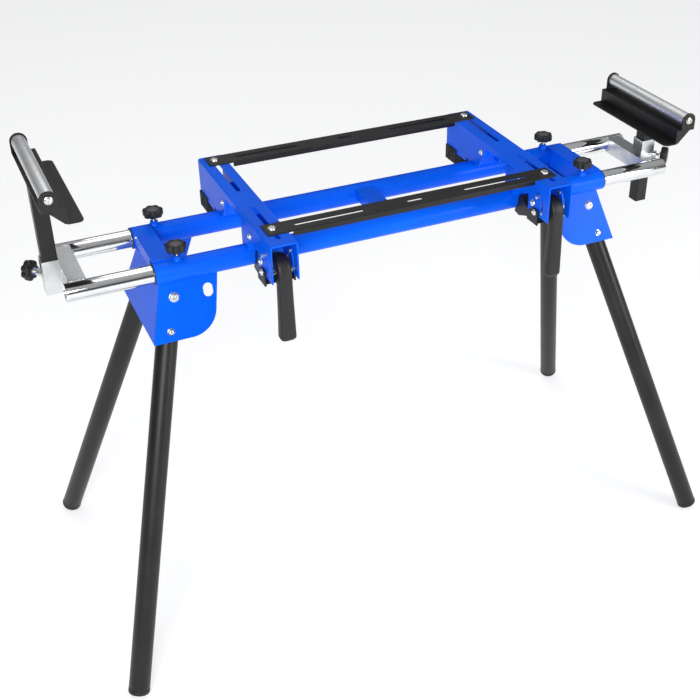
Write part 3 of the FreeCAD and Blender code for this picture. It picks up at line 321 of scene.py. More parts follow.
def roundedCorners(corners, radius, steps=4):
    # a closed outline with an arc for each corner: a rational quadratic from side to side, which is a circle
    # when its middle weight is the sine of half the corner's angle
    corners = np.asarray(corners, float)
    radius = np.broadcast_to(radius, len(corners))
    back = np.roll(corners, 1, 0) - corners
    on = np.roll(corners, -1, 0) - corners
    backLength = np.linalg.norm(back, axis=1)
    onLength = np.linalg.norm(on, axis=1)
    back /= backLength[:, None]
    on /= onLength[:, None]
    half = np.arccos(np.clip((back * on).sum(1), -1, 1)) / 2
    reach = np.minimum(radius / np.tan(half), 0.49 * np.minimum(backLength, onLength))[:, None, None]
    t = np.linspace(0, 1, steps)[None, :, None]
    weight = np.sin(half)[:, None, None] * 2 * t * (1 - t)
    corner = corners[:, None]
    start = corner + back[:, None] * reach
    end = corner + on[:, None] * reach
    arcs = ((1 - t) ** 2 * start + weight * corner + t ** 2 * end) / ((1 - t) ** 2 + weight + t ** 2)
    points = arcs.reshape(-1, 2)
    return points[np.linalg.norm(points - np.roll(points, 1, 0), axis=1) > 1e-7]


def turned(profile, segments=48, hollow=False, lobes=None):
    # a profile of (radius, height) spun about Z; lobes scales each radius by a function of angle and radius
    profile = np.asarray(profile, float)
    angle = np.linspace(0, 2 * math.pi, segments, endpoint=False)[None, :]
    radius = profile[:, :1] * np.ones_like(angle)
    if lobes:
        radius = radius * lobes(angle, profile[:, :1])
    height = profile[:, 1:] * np.ones_like(angle)
    return skin(np.stack([radius * np.cos(angle), radius * np.sin(angle), height], -1), hollow)


def tube(start, end, radius, wall, lip=0.0005):
    # a tube's wall is a rounded rectangle spun about the line from start to end
    start, end = np.asarray(start, float), np.asarray(end, float)
    length = np.linalg.norm(end - start)
    inner = radius - wall
    section = roundedCorners([(inner, 0), (radius, 0), (radius, length), (inner, length)], lip)
    return placed(turned(section, 72, hollow=True), axes(start, end - start))


def smoothLine(knots, count):
    # a Catmull-Rom curve through the knots: each span is a cubic whose ends point along the neighbours' chord
    knots = np.asarray(knots, float)
    padded = np.concatenate([2 * knots[:1] - knots[1:2], knots, 2 * knots[-1:] - knots[-2:-1]])
    s = np.linspace(0, len(knots) - 1 - 1e-9, count)
    span = s.astype(int)
    t = (s - span).reshape(-1, *([1] * (knots.ndim - 1)))
    a, b, c, d = (padded[span + shift] for shift in range(4))
    square, cube = 2 * a - 5 * b + 4 * c - d, 3 * b - a - 3 * c + d
    return 0.5 * (2 * b + (c - a) * t + square * t ** 2 + cube * t ** 3)


def nodePoints(node):
    mesh = frame["nodes"][node].data
    points = np.empty(len(mesh.vertices) * 3)
    mesh.vertices.foreach_get("co", points)
    return points.reshape(-1, 3)


def spanOf(node, along, across=(0, 0, 1)):
    # the node's middle line along a direction: its frame at the low end, and its length
    points = nodePoints(node)
    turn = axes((0, 0, 0), along, across)[1]
    local = points @ turn.T
    low, high = local.min(0), local.max(0)
    start = np.array([(low[0] + high[0]) / 2, (low[1] + high[1]) / 2, low[2]])
    return (start @ turn, turn), high[2] - low[2]


# pieces


def addPiece(name, shape, finish, node, replaced=(), smooth=35.0):
    # the mesh gets outward faces, smooth shading up to an angle, its finish and its body
    points, faces = shape
    mesh = bpy.data.meshes.new(name)
    mesh.from_pydata(points.tolist(), [], faces)
    work = bmesh.new()
    work.from_mesh(mesh)
    bmesh.ops.recalc_face_normals(work, faces=work.faces)
    work.to_mesh(mesh)
    work.free()
    return dressed(name, mesh, finish, node, replaced, smooth)


def dressed(name, mesh, finish, node, replaced, smooth):
    mesh.polygons.foreach_set("use_smooth", [True] * len(mesh.polygons))
    mesh.set_sharp_from_angle(angle=math.radians(smooth))
    mesh.materials.clear()
    mesh.materials.append(finishes[finish])
    piece = bpy.data.objects.new(name, mesh)
    bpy.context.scene.collection.objects.link(piece)
    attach(piece, bodyOf[node])
    if replaced:
        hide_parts(*replaced)
    return piece


def softened(node, finish, edge, bend=0.0, bends=None):
    # the node's own solid with its triangles merged into whole faces, its folds rounded where the test
    # says so, and every other sharp edge broken by a small round
    work = bmesh.new()
    work.from_mesh(frame["nodes"][node].data)
    bmesh.ops.remove_doubles(work, verts=work.verts, dist=0.000002)
    bmesh.ops.dissolve_limit(work, angle_limit=math.radians(0.5), verts=work.verts, edges=work.edges)
    if bends:
        folds = [line for line in work.edges if len(line.link_faces) == 2
                 and line.calc_face_angle(0) > math.radians(25) and bends(*(end.co for end in line.verts))]
        bmesh.ops.bevel(work, geom=folds, offset=bend, segments=5, profile=0.5, affect="EDGES",
                        clamp_overlap=True)
    sharp = [line for line in work.edges if len(line.link_faces) == 2
             and line.calc_face_angle(0) > math.radians(32)]
    bmesh.ops.bevel(work, geom=sharp, offset=edge, segments=2, profile=0.5, affect="EDGES",
                    clamp_overlap=True)
    mesh = bpy.data.meshes.new(node)
    work.to_mesh(mesh)
    work.free()
    piece = dressed(node + ".soft", mesh, finish, node, [node], 50.0)
    weights = piece.modifiers.new("weights", "WEIGHTED_NORMAL")
    weights.keep_sharp = True
    weights.weight = 80
    return piece


def boltHead(radius, height, recess, flange):
    # a pan head on a collar, with a six-sided recess: a profile whose inner rings follow a hexagon
    hexagon = recess / 2
    profile = [(radius + flange, 0), (radius + flange, height * 0.2), (radius, height * 0.32),
               (radius * 0.97, height * 0.6), (radius * 0.86, height * 0.84), (radius * 0.66, height * 0.97),
               (hexagon * 1.25, height), (hexagon * 1.08, height * 0.97), (hexagon, height * 0.88),
               (hexagon, height * 0.35), (hexagon * 0.5, height * 0.28), (0.0002, height * 0.26)]

    def sixSided(angle, ring):
        # a hexagon's radius is its inner radius over the cosine of the angle from the nearest flat's middle
        flat = np.abs((angle + math.pi / 6) % (math.pi / 3) - math.pi / 6)
        return np.where(ring < hexagon * 1.2, 1 / np.cos(flat), 1.0)

    return turned(profile, 48, lobes=sixSided)


def rod(start, end, radius):
    # a solid bar whose two ends have small chamfers
    start, end = np.asarray(start, float), np.asarray(end, float)
    length = np.linalg.norm(end - start)
    lip = 0.0004
    profile = [(radius - lip, 0), (radius, lip), (radius, length - lip), (radius - lip, length)]
    return placed(turned(profile, 32), axes(start, end - start))


def boltAt(place, along, radius, height, recess, flange, across=(0, 0, 1)):
    return placed(boltHead(radius, height, recess, flange), axes(place, along, across))


def buildRails():
    spec = {"wall": 0.002, "bushBore": 0.01608, "bushBody": 0.01715, "bushRim": 0.019, "bushDepth": 0.03,
            "flange": 0.002, "flangeInset": 0.0192, "bushEdge": 0.0005}
    for side in sides:
        node = f"rail_{side}"
        (start, turn), length = spanOf(node, (1, 0, 0))
        low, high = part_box(node)
        addPiece(f"rail.{side}", tube(start, start + turn[2] * length, (high.y - low.y) / 2, spec["wall"]),
                 "blueEnamel", node, [node])
    softened("centre_member", "blueEnamel", 0.0006, 0.003,
             lambda first, last: abs(first.x - last.x) < 0.001 and abs(first.y - last.y) > 0.02)
    for end, way in ends.items():
        node = f"rail_bushes_{end}"
        low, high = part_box(node)
        flange = spec["flange"]
        mouth = (high.x - flange) if way > 0 else (low.x + flange)
        rings = []
        for facing in sides.values():
            middle = facing * (high.y - spec["flangeInset"])
            bore, body, rim = spec["bushBore"], spec["bushBody"], spec["bushRim"]
            back = -spec["bushDepth"]
            profile = roundedCorners([(bore, back), (body, back), (body, 0), (rim, 0), (rim, flange),
                                      (bore, flange)], spec["bushEdge"])
            rings.append(placed(turned(profile, 64, hollow=True),
                                axes((mouth, middle, (low.z + high.z) / 2), (way, 0, 0))))
        addPiece(f"bushes.{end}", joined(rings), "mouldedBlack", node, [node])
    print("rails done")


def buildBosses():
    # a boss flares where the weld meets the rail
    spec = {"radius": 0.007, "flare": 0.0022, "lip": 0.0006, "bore": 0.0032}
    radius, flare, lip, bore = (spec[key] for key in ("radius", "flare", "lip", "bore"))
    for end in ends:
        node = f"knob_bosses_{end}"
        low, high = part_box(node)
        height = high.z - low.z
        shapes = []
        for side in sides:
            x, y = joints[f"rail_knob_turn_{side}_{end}"]["pos_m"][:2]
            profile = [(radius + flare, 0), (radius + flare * 0.6, height * 0.3), (radius, height * 0.62),
                       (radius, height - lip), (radius - lip, height), (bore, height), (bore, height * 0.4)]
            shapes.append(placed(turned(profile, 40), axes((x, y, low.z), (0, 0, 1))))
        addPiece(f"bosses.{end}", joined(shapes), "blueEnamel", node, [node])
    print("bosses done")


def lobedKnob(spec):
    # lobes round the rim: the radius dips by a rounded cosine between them, and the dips fade to the middle
    def lobes(angle, ring):
        dip = (0.5 - 0.5 * np.cos(angle * spec["lobes"])) ** 1.7
        fade = np.clip((ring - spec["radius"] * 0.55) / (spec["radius"] * 0.4), 0, 1)
        return 1 - spec["dip"] * dip * fade

    r, h = spec["radius"], spec["height"]
    profile = [(r * 0.36, 0), (r * 0.5, 0.0002), (r * 0.86, 0.0004), (r * 0.95, 0.0011),
               (r, 0.0028), (r, h * 0.5), (r, h - 0.0034), (r * 0.985, h - 0.0022), (r * 0.95, h - 0.0012),
               (r * 0.88, h - 0.0005), (r * 0.74, h - 0.0001), (r * 0.66, h), (r * 0.62, h - 0.0004),
               (r * 0.61, h - 0.0012), (r * 0.3, h - 0.0012)]
    return turned(profile, 112, lobes=lobes)


def buildKnobs():
    spec = {"radius": 0.018, "height": 0.014, "lobes": 7, "dip": 0.17, "stud": 0.003, "collar": 0.0062}
    names = [(f"rail_knob_{side}_{end}", f"rail_knob_turn_{side}_{end}") for side in sides for end in ends]
    names += [(f"post_knob_{end}", f"post_knob_turn_{end}") for end in ends]
    for node, jointName in names:
        joint = joints[jointName]
        place = axes(joint["pos_m"], joint["axis"], (1, 0, 0) if abs(joint["axis"][2]) > 0.5 else (0, 0, 1))
        origin, turn = place
        out = turn[2]
        length = spanOf(node, joint["axis"])[1] - spec["height"]
        addPiece(f"{node}.grip", placed(lobedKnob(spec), place), "mouldedBlack", node, [node], smooth=50)
        r, h = spec["radius"], spec["height"]
        cap = turned([(r * 0.6, h - 0.0016), (r * 0.6, h - 0.0007), (r * 0.57, h - 0.0003),
                      (r * 0.3, h - 0.0001), (0.0004, h)], 56)
        addPiece(f"{node}.cap", placed(cap, place), "capGrey", node)
        thread = threadedRod(spec["stud"], length, 0.0011)
        collar = [(spec["collar"], -0.0022), (spec["collar"], -0.0004), (spec["collar"] * 0.93, 0.0),
                  (spec["collar"] * 0.5, 0.0004)]
        stud = joined([placed(thread, (origin - out * length, turn)), placed(turned(collar, 40), place)])
        addPiece(f"{node}.stud", stud, "zincPlate", node)
    print("knobs done")


def threadedRod(radius, length, pitch):
    # a thread is a ring of points whose radius follows the rise and the angle together
    rows = int(length / pitch * 6) + 2
    angle = np.linspace(0, 2 * math.pi, 20, endpoint=False)[None, :]
    height = np.linspace(0, length, rows)[:, None]
    wave = np.abs((height / pitch - angle / (2 * math.pi)) % 1.0 - 0.5) * 2
    ring = radius * (1 - 0.14 * wave) * np.ones_like(angle)
    points = np.stack([ring * np.cos(angle), ring * np.sin(angle), height * np.ones_like(angle)], -1)
    return skin(points)


def buildLegs():
    # the foot is a plug: a rim with a rounded lower edge, and a shank up inside the leg
    spec = {"radius": 0.019, "wall": 0.0015, "foot": 0.01945, "floor": 0.010, "lift": 0.0001,
            "slack": 0.00005}
    for end in ends:
        for side in sides:
            node = f"leg_{side}_{end}"
            joint = joints[f"leg_fold_{side}_{end}"]
            pivot = np.array(joint["pos_m"])
            across = np.array(joint["axis"])
            points = nodePoints(node)
            middle = nodePoints(f"foot_cap_{side}_{end}").mean(0) - pivot
            middle -= across * np.dot(middle, across)
            along = middle / np.linalg.norm(middle)
            reach = (points - pivot) @ along
            first, last = pivot + along * reach.min(), pivot + along * reach.max()
            body = tube(first, last, spec["radius"], spec["wall"])
            addPiece(f"leg.{side}.{end}", body, "blackCoat", node, [node])
            cap = f"foot_cap_{side}_{end}"
            capReach = (nodePoints(cap) - pivot) @ along
            length = capReach.max() - capReach.min()
            rim, shank = spec["foot"], spec["radius"] - spec["wall"] - spec["slack"]
            outline = roundedCorners([(0.0002, spec["lift"]), (rim, spec["lift"]), (rim, spec["floor"]),
                                      (shank, spec["floor"]), (shank, length), (0.0002, length)],
                                     [0, 0.005, 0.0008, 0.0002, 0.001, 0], 9)
            place = axes(pivot + along * capReach.max(), -along, across)
            addPiece(f"foot.{side}.{end}", placed(turned(outline, 64), place), "mouldedBlack", cap, [cap])
    print("legs done")


def outwardOf(joint):
    # the way out of the stand along a leg's bolt
    across = np.array(joint["axis"])
    return across * np.sign(across[1] * joint["pos_m"][1])


def buildPivots():
    spec = {"inset": 0.0255, "gauge": 0.0025, "head": 0.0074, "flange": 0.0012, "height": 0.0045,
            "recess": 0.0052, "shank": 0.005, "leg": 0.019, "nut": 0.006, "nutRadius": 0.0085,
            "spacer": 0.0085, "spacerWall": 0.0034, "button": 0.0045, "collar": 0.0082, "gap": 0.0006}
    for end in ends:
        node = f"pivot_bolts_{end}"
        shapes = []
        for side in sides:
            joint = joints[f"leg_fold_{side}_{end}"]
            out = outwardOf(joint)
            face = np.array(joint["pos_m"]) + out * spec["inset"]
            far = spec["inset"] + spec["leg"]
            gap, shank = spec["gap"], spec["shank"]
            shapes.append(boltAt(face, out, spec["head"], spec["height"], spec["recess"], spec["flange"],
                                 (1, 0, 0)))
            shapes.append(rod(face + out * gap, face - out * (far + 0.001), shank))
            shapes.append(tube(face - out * (spec["gauge"] + 0.0001),
                               face - out * (spec["inset"] - spec["leg"] - 0.0004),
                               spec["spacer"], spec["spacerWall"]))
            shapes.append(hexNut(face - out * (far + gap), -out, spec["nutRadius"], spec["nut"] - gap, shank))
        addPiece(f"pivots.{end}", joined(shapes), "zincPlate", node, [node])
        for side in sides:
            node = f"lock_button_{side}_{end}"
            axis = np.array(joints[f"lock_press_{side}_{end}"]["axis"])
            place, length = spanOf(node, -axis, (1, 0, 0))
            b, collar = spec["button"], spec["collar"]
            dome = [(collar, 0), (collar, 0.001), (b, 0.001), (b, length * 0.72), (b * 0.96, length * 0.82),
                    (b * 0.84, length * 0.91), (b * 0.6, length * 0.97), (b * 0.3, length * 0.995),
                    (0.0002, length)]
            addPiece(f"{node}.dome", placed(turned(dome, 48), place), "zincPlate", node, [node])
    print("pivots and lock buttons done")


def hexNut(place, along, radius, height, bore):
    # a nut: a hexagon's flats, with its corners cut back to a cone at both ends
    inner = bore + 0.0001
    profile = [(inner, 0), (radius * 0.88, 0), (radius * 0.98, height * 0.14),
               (radius * 0.98, height * 0.86), (radius * 0.88, height), (inner, height)]

    def sixSided(angle, ring):
        flat = np.abs((angle + math.pi / 6) % (math.pi / 3) - math.pi / 6)
        return np.where(ring > radius * 0.9, np.minimum(0.866 / np.cos(flat), 1.0), 1.0)

    return placed(turned(profile, 48, hollow=True, lobes=sixSided), axes(place, along, (1, 0, 0)))


def buildBrackets():
    for end in ends:
        node = f"leg_bracket_{end}"
        softened(node, "blueEnamel", 0.0005, 0.0022,
                 lambda first, last: abs(first.x - last.x) < 0.0005 and abs(first.z - last.z) < 0.0005
                 and abs(first.y - last.y) > 0.09)
    print("leg brackets done")


def weldBead(route, radius, pitch, seed):
    # a tube along the route whose radius swells once a pitch, like a row of melted drops
    route = np.asarray(route, float)
    steps = np.linalg.norm(np.diff(route, axis=0), axis=1)
    length = steps.sum()
    count = int(length / pitch * 5) + 2
    s = np.linspace(0, length, count)
    known = np.concatenate([[0], np.cumsum(steps)])
    line = np.stack([np.interp(s, known, route[:, k]) for k in range(3)], -1)
    along = np.gradient(line, axis=0)
    along /= np.linalg.norm(along, axis=1)[:, None]
    side = np.cross(along, (0.3, 0.2, 0.93))
    side /= np.linalg.norm(side, axis=1)[:, None]
    up = np.cross(along, side)
    random = np.random.default_rng(seed)
    swell = radius * (0.82 + 0.3 * np.abs(np.sin(math.pi * s / pitch)) + random.uniform(-0.06, 0.06, count))
    swell *= np.clip(np.minimum(s, length - s) / (radius * 1.2), 0.12, 1) ** 0.5
    angle = np.linspace(0, 2 * math.pi, 10, endpoint=False)
    ring = (side[:, None] * np.cos(angle)[None, :, None] + up[:, None] * np.sin(angle)[None, :, None])
    return skin(line[:, None] + ring * swell[:, None, None])


def buildExtensions():
    spec = {"wall": 0.0015, "bead": 0.0016, "pitch": 0.0024, "seamY": 0.015}
    for end, way in ends.items():
        for side in sides:
            node = f"extension_tube_{side}_{end}"
            (start, turn), length = spanOf(node, (1, 0, 0))
            low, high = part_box(node)
            radius = (high.z - low.z) / 2
            addPiece(f"arm.{side}.{end}", tube(start, start + turn[2] * length, radius, spec["wall"], 0.0004),
                     "tubeChrome", node, [node])
        cross = f"crossbar_{end}"
        softened(cross, "frostChrome", 0.0003, 0.0016,
                 lambda first, last: abs(first.x - last.x) < 0.0005 and abs(first.z - last.z) < 0.0005
                 and abs(first.y - last.y) > 0.03)
        socket = f"post_socket_{end}"
        softened(socket, "frostChrome", 0.0003, 0.0014,
                 lambda first, last: abs(first.x - last.x) < 0.0005 and abs(first.y - last.y) < 0.0005
                 and abs(first.z - last.z) > 0.02)
        low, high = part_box(cross)
        armLow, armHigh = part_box(f"extension_tube_front_{end}")
        armY, armZ, armR = (armLow.y + armHigh.y) / 2, (armLow.z + armHigh.z) / 2, (armHigh.z - armLow.z) / 2
        beads = []
        for facing in (-1, 1):
            for z in (low.z, high.z):
                lift = np.clip((z - armZ) / armR, -0.98, 0.98)
                y = facing * (abs(armY) - armR * math.sqrt(1 - lift ** 2))
                route = [(low.x + 0.001, y, z), (high.x - 0.001, y, z)]
                beads.append(weldBead(route, spec["bead"], spec["pitch"], 3))
            for x in (low.x, high.x):
                angle = np.linspace(-0.95, 0.95, 12)
                arc = np.stack([np.full(12, x), facing * (abs(armY) - armR * np.cos(angle)),
                                armZ + armR * np.sin(angle)], -1)
                beads.append(weldBead(arc, spec["bead"] * 0.8, spec["pitch"], 5))
        seam = high.x if way > 0 else low.x
        for y in (-spec["seamY"], spec["seamY"]):
            route = [(seam, y, low.z + 0.002), (seam, y, high.z - 0.002)]
            beads.append(weldBead(route, spec["bead"], spec["pitch"], 7))
        addPiece(f"welds.{end}", joined(beads), "frostChrome", cross, smooth=80)
    print("extensions done")


def buildHeads():
    spec = {"boltRadius": 0.0056, "boltHeight": 0.0035, "recess": 0.0042, "bore": 0.00408, "hub": 0.0012,
            "rim": 0.0022, "skin": 0.0016, "edge": 0.0004}
    for end in ends:
        node = f"roller_bracket_{end}"
        softened(node, "blackCoat", 0.0004, 0.0024,
                 lambda first, last: abs(first.x - last.x) < 0.0005 and abs(first.z - last.z) < 0.0005
                 and abs(first.y - last.y) > 0.1)
        softened(f"post_{end}", "blackCoat", 0.0005)
        roller = f"roller_{end}"
        (start, turn), length = spanOf(roller, (0, 1, 0))
        low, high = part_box(roller)
        r = (high.z - low.z) / 2
        bore, hub, rim, outer = spec["bore"], spec["hub"], r - spec["rim"], r - spec["skin"]
        profile = roundedCorners([(bore, hub), (rim, hub), (outer, 0), (r, 0), (r, length), (outer, length),
                                  (rim, length - hub), (bore, length - hub)], spec["edge"])
        addPiece(f"roller.{end}.tube", placed(turned(profile, 96, hollow=True), (start, turn)), "rollerSatin",
                 roller, [roller])
        axle = f"roller_axle_{end}"
        (start, turn), length = spanOf(axle, (0, 1, 0))
        cap = spec["boltHeight"]
        along = turn[2]
        first, last = start + along * cap, start + along * (length - cap)
        shapes = [rod(first - along * 0.0006, last + along * 0.0006, 0.004),
                  boltAt(first, -along, spec["boltRadius"], cap, spec["recess"], 0.0009, (1, 0, 0)),
                  boltAt(last, along, spec["boltRadius"], cap, spec["recess"], 0.0009, (1, 0, 0))]
        addPiece(f"axle.{end}", joined(shapes), "zincPlate", axle, [axle])
    print("roller heads done")


def leverShape(x, pivot, spec):
    # rounded-square sections along a bent middle line: the head sits on the pivot, the grip hangs in front,
    # and the last sections shrink like a ball's slices; a superellipse gives each section its corners
    line = smoothLine(spec["line"], spec["count"])
    size = smoothLine(spec["size"], spec["count"])
    gaps = np.linalg.norm(np.diff(line, axis=0), axis=1)
    s = np.concatenate([[0], np.cumsum(gaps)])
    fromStart, fromTip = np.minimum(s / spec["startRound"], 1), np.minimum((s[-1] - s) / spec["tipRound"], 1)
    ball = np.sqrt(np.clip(1 - (1 - fromStart) ** 2, 0.0025, 1) * np.clip(1 - (1 - fromTip) ** 2, 0.0025, 1))
    ribs = 0.5 - 0.5 * np.cos(2 * math.pi * s / spec["ribPitch"])
    ribs *= np.clip((s - spec["ribStart"]) / 0.006, 0, 1) * np.clip((s[-1] - 0.02 - s) / 0.006, 0, 1)
    along = np.gradient(line, axis=0)
    along /= np.linalg.norm(along, axis=1)[:, None]
    normal = np.stack([along[:, 1], -along[:, 0]], -1)
    angle = np.linspace(0, 2 * math.pi, 40, endpoint=False)
    power = 2 / spec["squareness"]
    wide = np.sign(np.cos(angle)) * np.abs(np.cos(angle)) ** power
    deep = np.sign(np.sin(angle)) * np.abs(np.sin(angle)) ** power
    half = size * ball[:, None]
    across = (half[:, :1] - spec["ribDepth"] * ribs[:, None] * (np.abs(wide) > 0.9)) * wide
    depth = half[:, 1:] * deep
    points = np.stack([x + across,
                       pivot[1] + line[:, :1] + normal[:, :1] * depth,
                       pivot[2] + line[:, 1:] + normal[:, 1:] * depth], -1)
    return skin(points)


def buildLevers():
    spec = {"line": [(0.0105, 0.0), (0.0, 0.002), (-0.017, 0.0065), (-0.031, 0.006), (-0.0385, -0.003),
                     (-0.0408, -0.018), (-0.0412, -0.05), (-0.0414, -0.09), (-0.0412, -0.118),
                     (-0.041, -0.1349)],
            "size": [(0.0125, 0.0085), (0.0125, 0.0095), (0.0125, 0.0108), (0.0124, 0.0118),
                     (0.0124, 0.0112), (0.0124, 0.0102), (0.0128, 0.0102), (0.0136, 0.0106),
                     (0.0142, 0.0108), (0.0144, 0.0108)],
            "count": 150, "startRound": 0.007, "tipRound": 0.0085, "squareness": 4.2,
            "ribPitch": 0.0052, "ribStart": 0.075, "ribDepth": 0.0006, "pin": 0.0028, "pinReach": 0.0235,
            "guide": 0.03, "guideAngle": math.radians(20)}
    for end in ends:
        node = f"clamp_lever_{end}"
        pivot = np.array(joints[f"clamp_lever_{end}"]["pos_m"])
        addPiece(f"{node}.grip", leverShape(pivot[0], pivot, spec), "mouldedBlack", node, [node], smooth=60)
        angle = spec["guideAngle"]
        guide = pivot - np.array([0, spec["guide"] * math.cos(angle), spec["guide"] * math.sin(angle)])
        reach = np.array([spec["pinReach"], 0, 0])
        pin = rod(guide - reach, guide + reach, spec["pin"])
        addPiece(f"{node}.pin", pin, "zincPlate", node)
    print("levers done")


def buildClamps():
    # the bolts right across a saw bracket: each kind has a shank radius, a head radius and a head height
    spec = {"rest": (0.003, 0.0052, 0.0034), "lever": (0.005, 0.0063, 0.0034), "hex": (0.004, 0.0072, 0.0045),
            "jaw": (0.0035, 0.0055, 0.003), "restY": (-0.1112, 0.0312), "restZ": 0.776, "hexY": -0.178,
            "hexZ": 0.773, "wall": 0.02375, "jawReach": 0.02755}
    for end in ends:
        node = f"clamp_bolts_{end}"
        lever, jaw = (np.array(joints[f"clamp_{part}_{end}"]["pos_m"]) for part in ("lever", "jaw"))
        x = lever[0]
        spots = [("rest", y, spec["restZ"], spec["wall"]) for y in spec["restY"]]
        spots += [("lever", lever[1], lever[2], spec["wall"]), ("jaw", jaw[1], jaw[2], spec["jawReach"])]
        shapes = []
        for kind, y, z, reach in spots:
            shank, head, height = spec[kind]
            shapes.append(rod((x - reach - 0.0005, y, z), (x + reach + 0.0005, y, z), shank))
            for facing in (-1, 1):
                place = (x + facing * reach, y, z)
                shapes.append(boltAt(place, (facing, 0, 0), head, height, head * 0.8, 0.0004))
        shank, head, height = spec["hex"]
        for facing in (-1, 1):
            wall = np.array([x + facing * spec["wall"], spec["hexY"], spec["hexZ"]])
            out = np.array([facing, 0, 0])
            shapes.append(rod(wall - out * 0.0055, wall + out * 0.001, shank))
            shapes.append(hexNut(wall, out, head, height, shank))
            shapes.append(placed(turned([(shank, 0), (shank, height), (shank * 0.7, height + 0.0008),
                                         (0.0003, height + 0.001)], 32), axes(wall, out)))
        addPiece(f"clampBolts.{end}", joined(shapes), "zincPlate", node, [node])
        softened(f"clamp_jaw_{end}", "blackCoat", 0.0005)
        softened(f"rail_rests_{end}", "blueEnamel", 0.0004)
    print("clamps done")


def topFold(low, high, across):
    # true for an edge in the top face at one of the box's two sides along the axis across
    near = 0.0003

    def holds(first, last):
        level = abs(first.z - high.z) < near and abs(last.z - high.z) < near
        edge = min(abs(first[across] - low[across]), abs(first[across] - high[across])) < near
        return level and edge and abs(first[across] - last[across]) < near

    return holds


def buildSawBrackets():
    for end in ends:
        node = f"saw_bracket_{end}"
        low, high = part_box(node)
        softened(node, "blueEnamel", 0.0004, 0.0026, topFold(low, high, 0))
    spec = {"width": 0.0535, "bore": 0.0062, "rim": 0.0098, "sunk": 0.001, "proud": 0.0012, "edge": 0.0005}
    softened("rear_pads", "padRubber", 0.0012)
    low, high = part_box("rear_pads")
    rings = []
    for facing in (-1, 1):
        for inner in (False, True):
            x = (high.x - spec["width"] if inner else high.x) * facing
            out = facing * (-1 if inner else 1)
            ring = roundedCorners([(spec["bore"], -spec["sunk"]), (spec["rim"], -spec["sunk"]),
                                   (spec["rim"], spec["proud"]), (spec["bore"], spec["proud"])], spec["edge"])
            rings.append(placed(turned(ring, 40, hollow=True),
                                axes((x, (low.y + high.y) / 2, (low.z + high.z) / 2), (out, 0, 0))))
    addPiece("padRings", joined(rings), "padRubber", "rear_pads")
    print("saw brackets done")


def buildBars():
    spec = {"gauge": 0.0025, "head": 0.0073, "height": 0.0034, "recess": 0.0048, "shank": 0.0039,
            "nut": 0.005, "nutRadius": 0.0075}
    for side in sides:
        node = f"mounting_bar_{side}"
        low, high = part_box(node)
        softened(node, "blackCoat", 0.0003, 0.0022, topFold(low, high, 1))
    shapes = []
    for side in sides:
        low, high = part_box(f"mounting_bar_{side}")
        y = (low.y + high.y) / 2
        for end in ends:
            x = joints[f"clamp_lever_{end}"]["pos_m"][0]
            top = np.array([x, y, high.z])
            up = np.array([0, 0, 1])
            under = top - up * spec["gauge"] * 2
            shapes += [boltAt(top, up, spec["head"], spec["height"], spec["recess"], 0.0002, (1, 0.4, 0)),
                       rod(under - up * spec["nut"], top + up * 0.0006, spec["shank"]),
                       hexNut(under, -up, spec["nutRadius"], spec["nut"] - 0.001, spec["shank"])]
    addPiece("barBolts", joined(shapes), "zincPlate", "bar_bolts", ["bar_bolts"])
    print("mounting bars done")


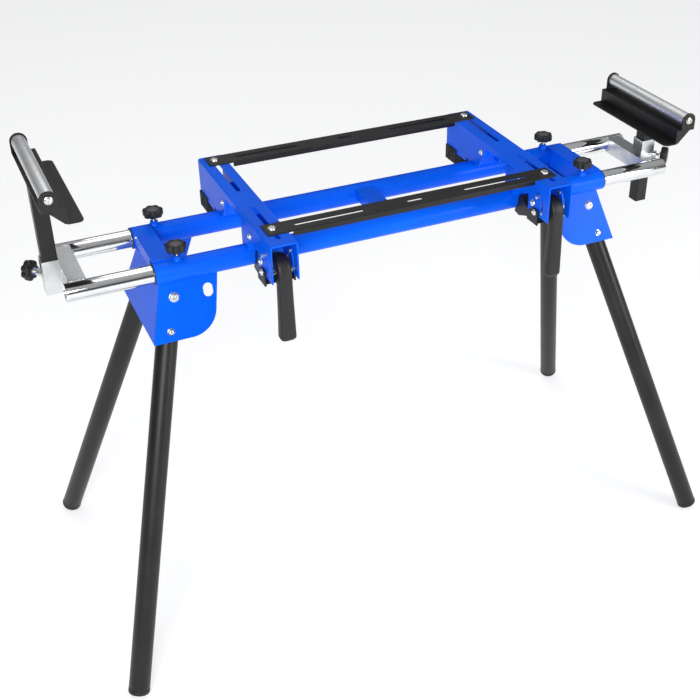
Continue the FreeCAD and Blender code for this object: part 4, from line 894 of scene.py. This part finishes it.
def buildRoom():
    # a pale floor that glows faintly, soft lamps (place, size, power) aimed at the middle of the stand, and a
    # grey sky with a dark belt for the bright metal to mirror
    spec = {"size": 30.0, "shade": (0.62, 0.622, 0.625), "glow": 0.88, "gloss": 0.7, "aim": (0, 0, 0.55),
            "lamps": {"key": ((-1.9, -3.3, 2.1), 1.7, 108.0), "fill": ((2.5, -2.9, 1.5), 1.5, 62.0),
                      "back": ((0.4, 3.0, 3.6), 1.6, 12.0), "top": ((-0.3, 0.3, 3.4), 1.4, 9.0)},
            "sky": [(0.0, (0.8, 0.8, 0.8)), (0.49, (0.42, 0.425, 0.43)), (0.53, (0.06, 0.062, 0.065)),
                    (0.61, (0.12, 0.122, 0.126)), (0.74, (0.55, 0.555, 0.56)), (1.0, (0.85, 0.86, 0.87))],
            "strength": 0.62}
    floorFinish = Finish("studioFloor", Roughness=spec["gloss"], Specular_IOR_Level=0.2,
                         Emission_Color=spec["shade"], Emission_Strength=spec["glow"])
    finishes["studioFloor"] = floorFinish.feedShader(Base_Color=floorFinish.mixed(
        floorFinish.noise(1.5, 2.0), spec["shade"], tuple(part * 0.985 for part in spec["shade"])))
    half = spec["size"] / 2
    mesh = bpy.data.meshes.new("floor")
    corners = [(-half, -half, 0), (half, -half, 0), (half, half, 0), (-half, half, 0)]
    mesh.from_pydata(corners, [], [(0, 1, 2, 3)])
    mesh.materials.append(finishes["studioFloor"])
    floor = bpy.data.objects.new("floor", mesh)
    bpy.context.scene.collection.objects.link(floor)
    for name, (place, size, power) in spec["lamps"].items():
        data = bpy.data.lights.new(name, "AREA")
        data.size = size
        data.energy = power
        lamp = bpy.data.objects.new(name, data)
        lamp.location = place
        lamp.rotation_euler = (Vector(spec["aim"]) - Vector(place)).to_track_quat("-Z", "Y").to_euler()
        bpy.context.scene.collection.objects.link(lamp)
    world = bpy.data.worlds.new("studio")
    world.use_nodes = True
    bpy.context.scene.world = world
    sky = NodeMaker(world.node_tree)
    direction = sky.node("ShaderNodeTexCoord", output="Generated")
    height = sky.node("ShaderNodeSeparateXYZ", sockets={"Vector": direction}, output="Z")
    background = world.node_tree.nodes["Background"]
    sky.feed(background.inputs["Color"], sky.node("ShaderNodeValToRGB", {"stops": spec["sky"]},
                                                  {"Fac": height * 0.5 + 0.5}))
    background.inputs["Strength"].default_value = spec["strength"]
    bpy.context.scene.view_settings.view_transform = "Standard"
    print("room done")


addCamera(cameraSpec)
buildRoom()
buildRails()
buildBosses()
buildKnobs()
buildLegs()
buildPivots()
buildBrackets()
buildExtensions()
buildHeads()
buildLevers()
buildClamps()
buildSawBrackets()
buildBars()
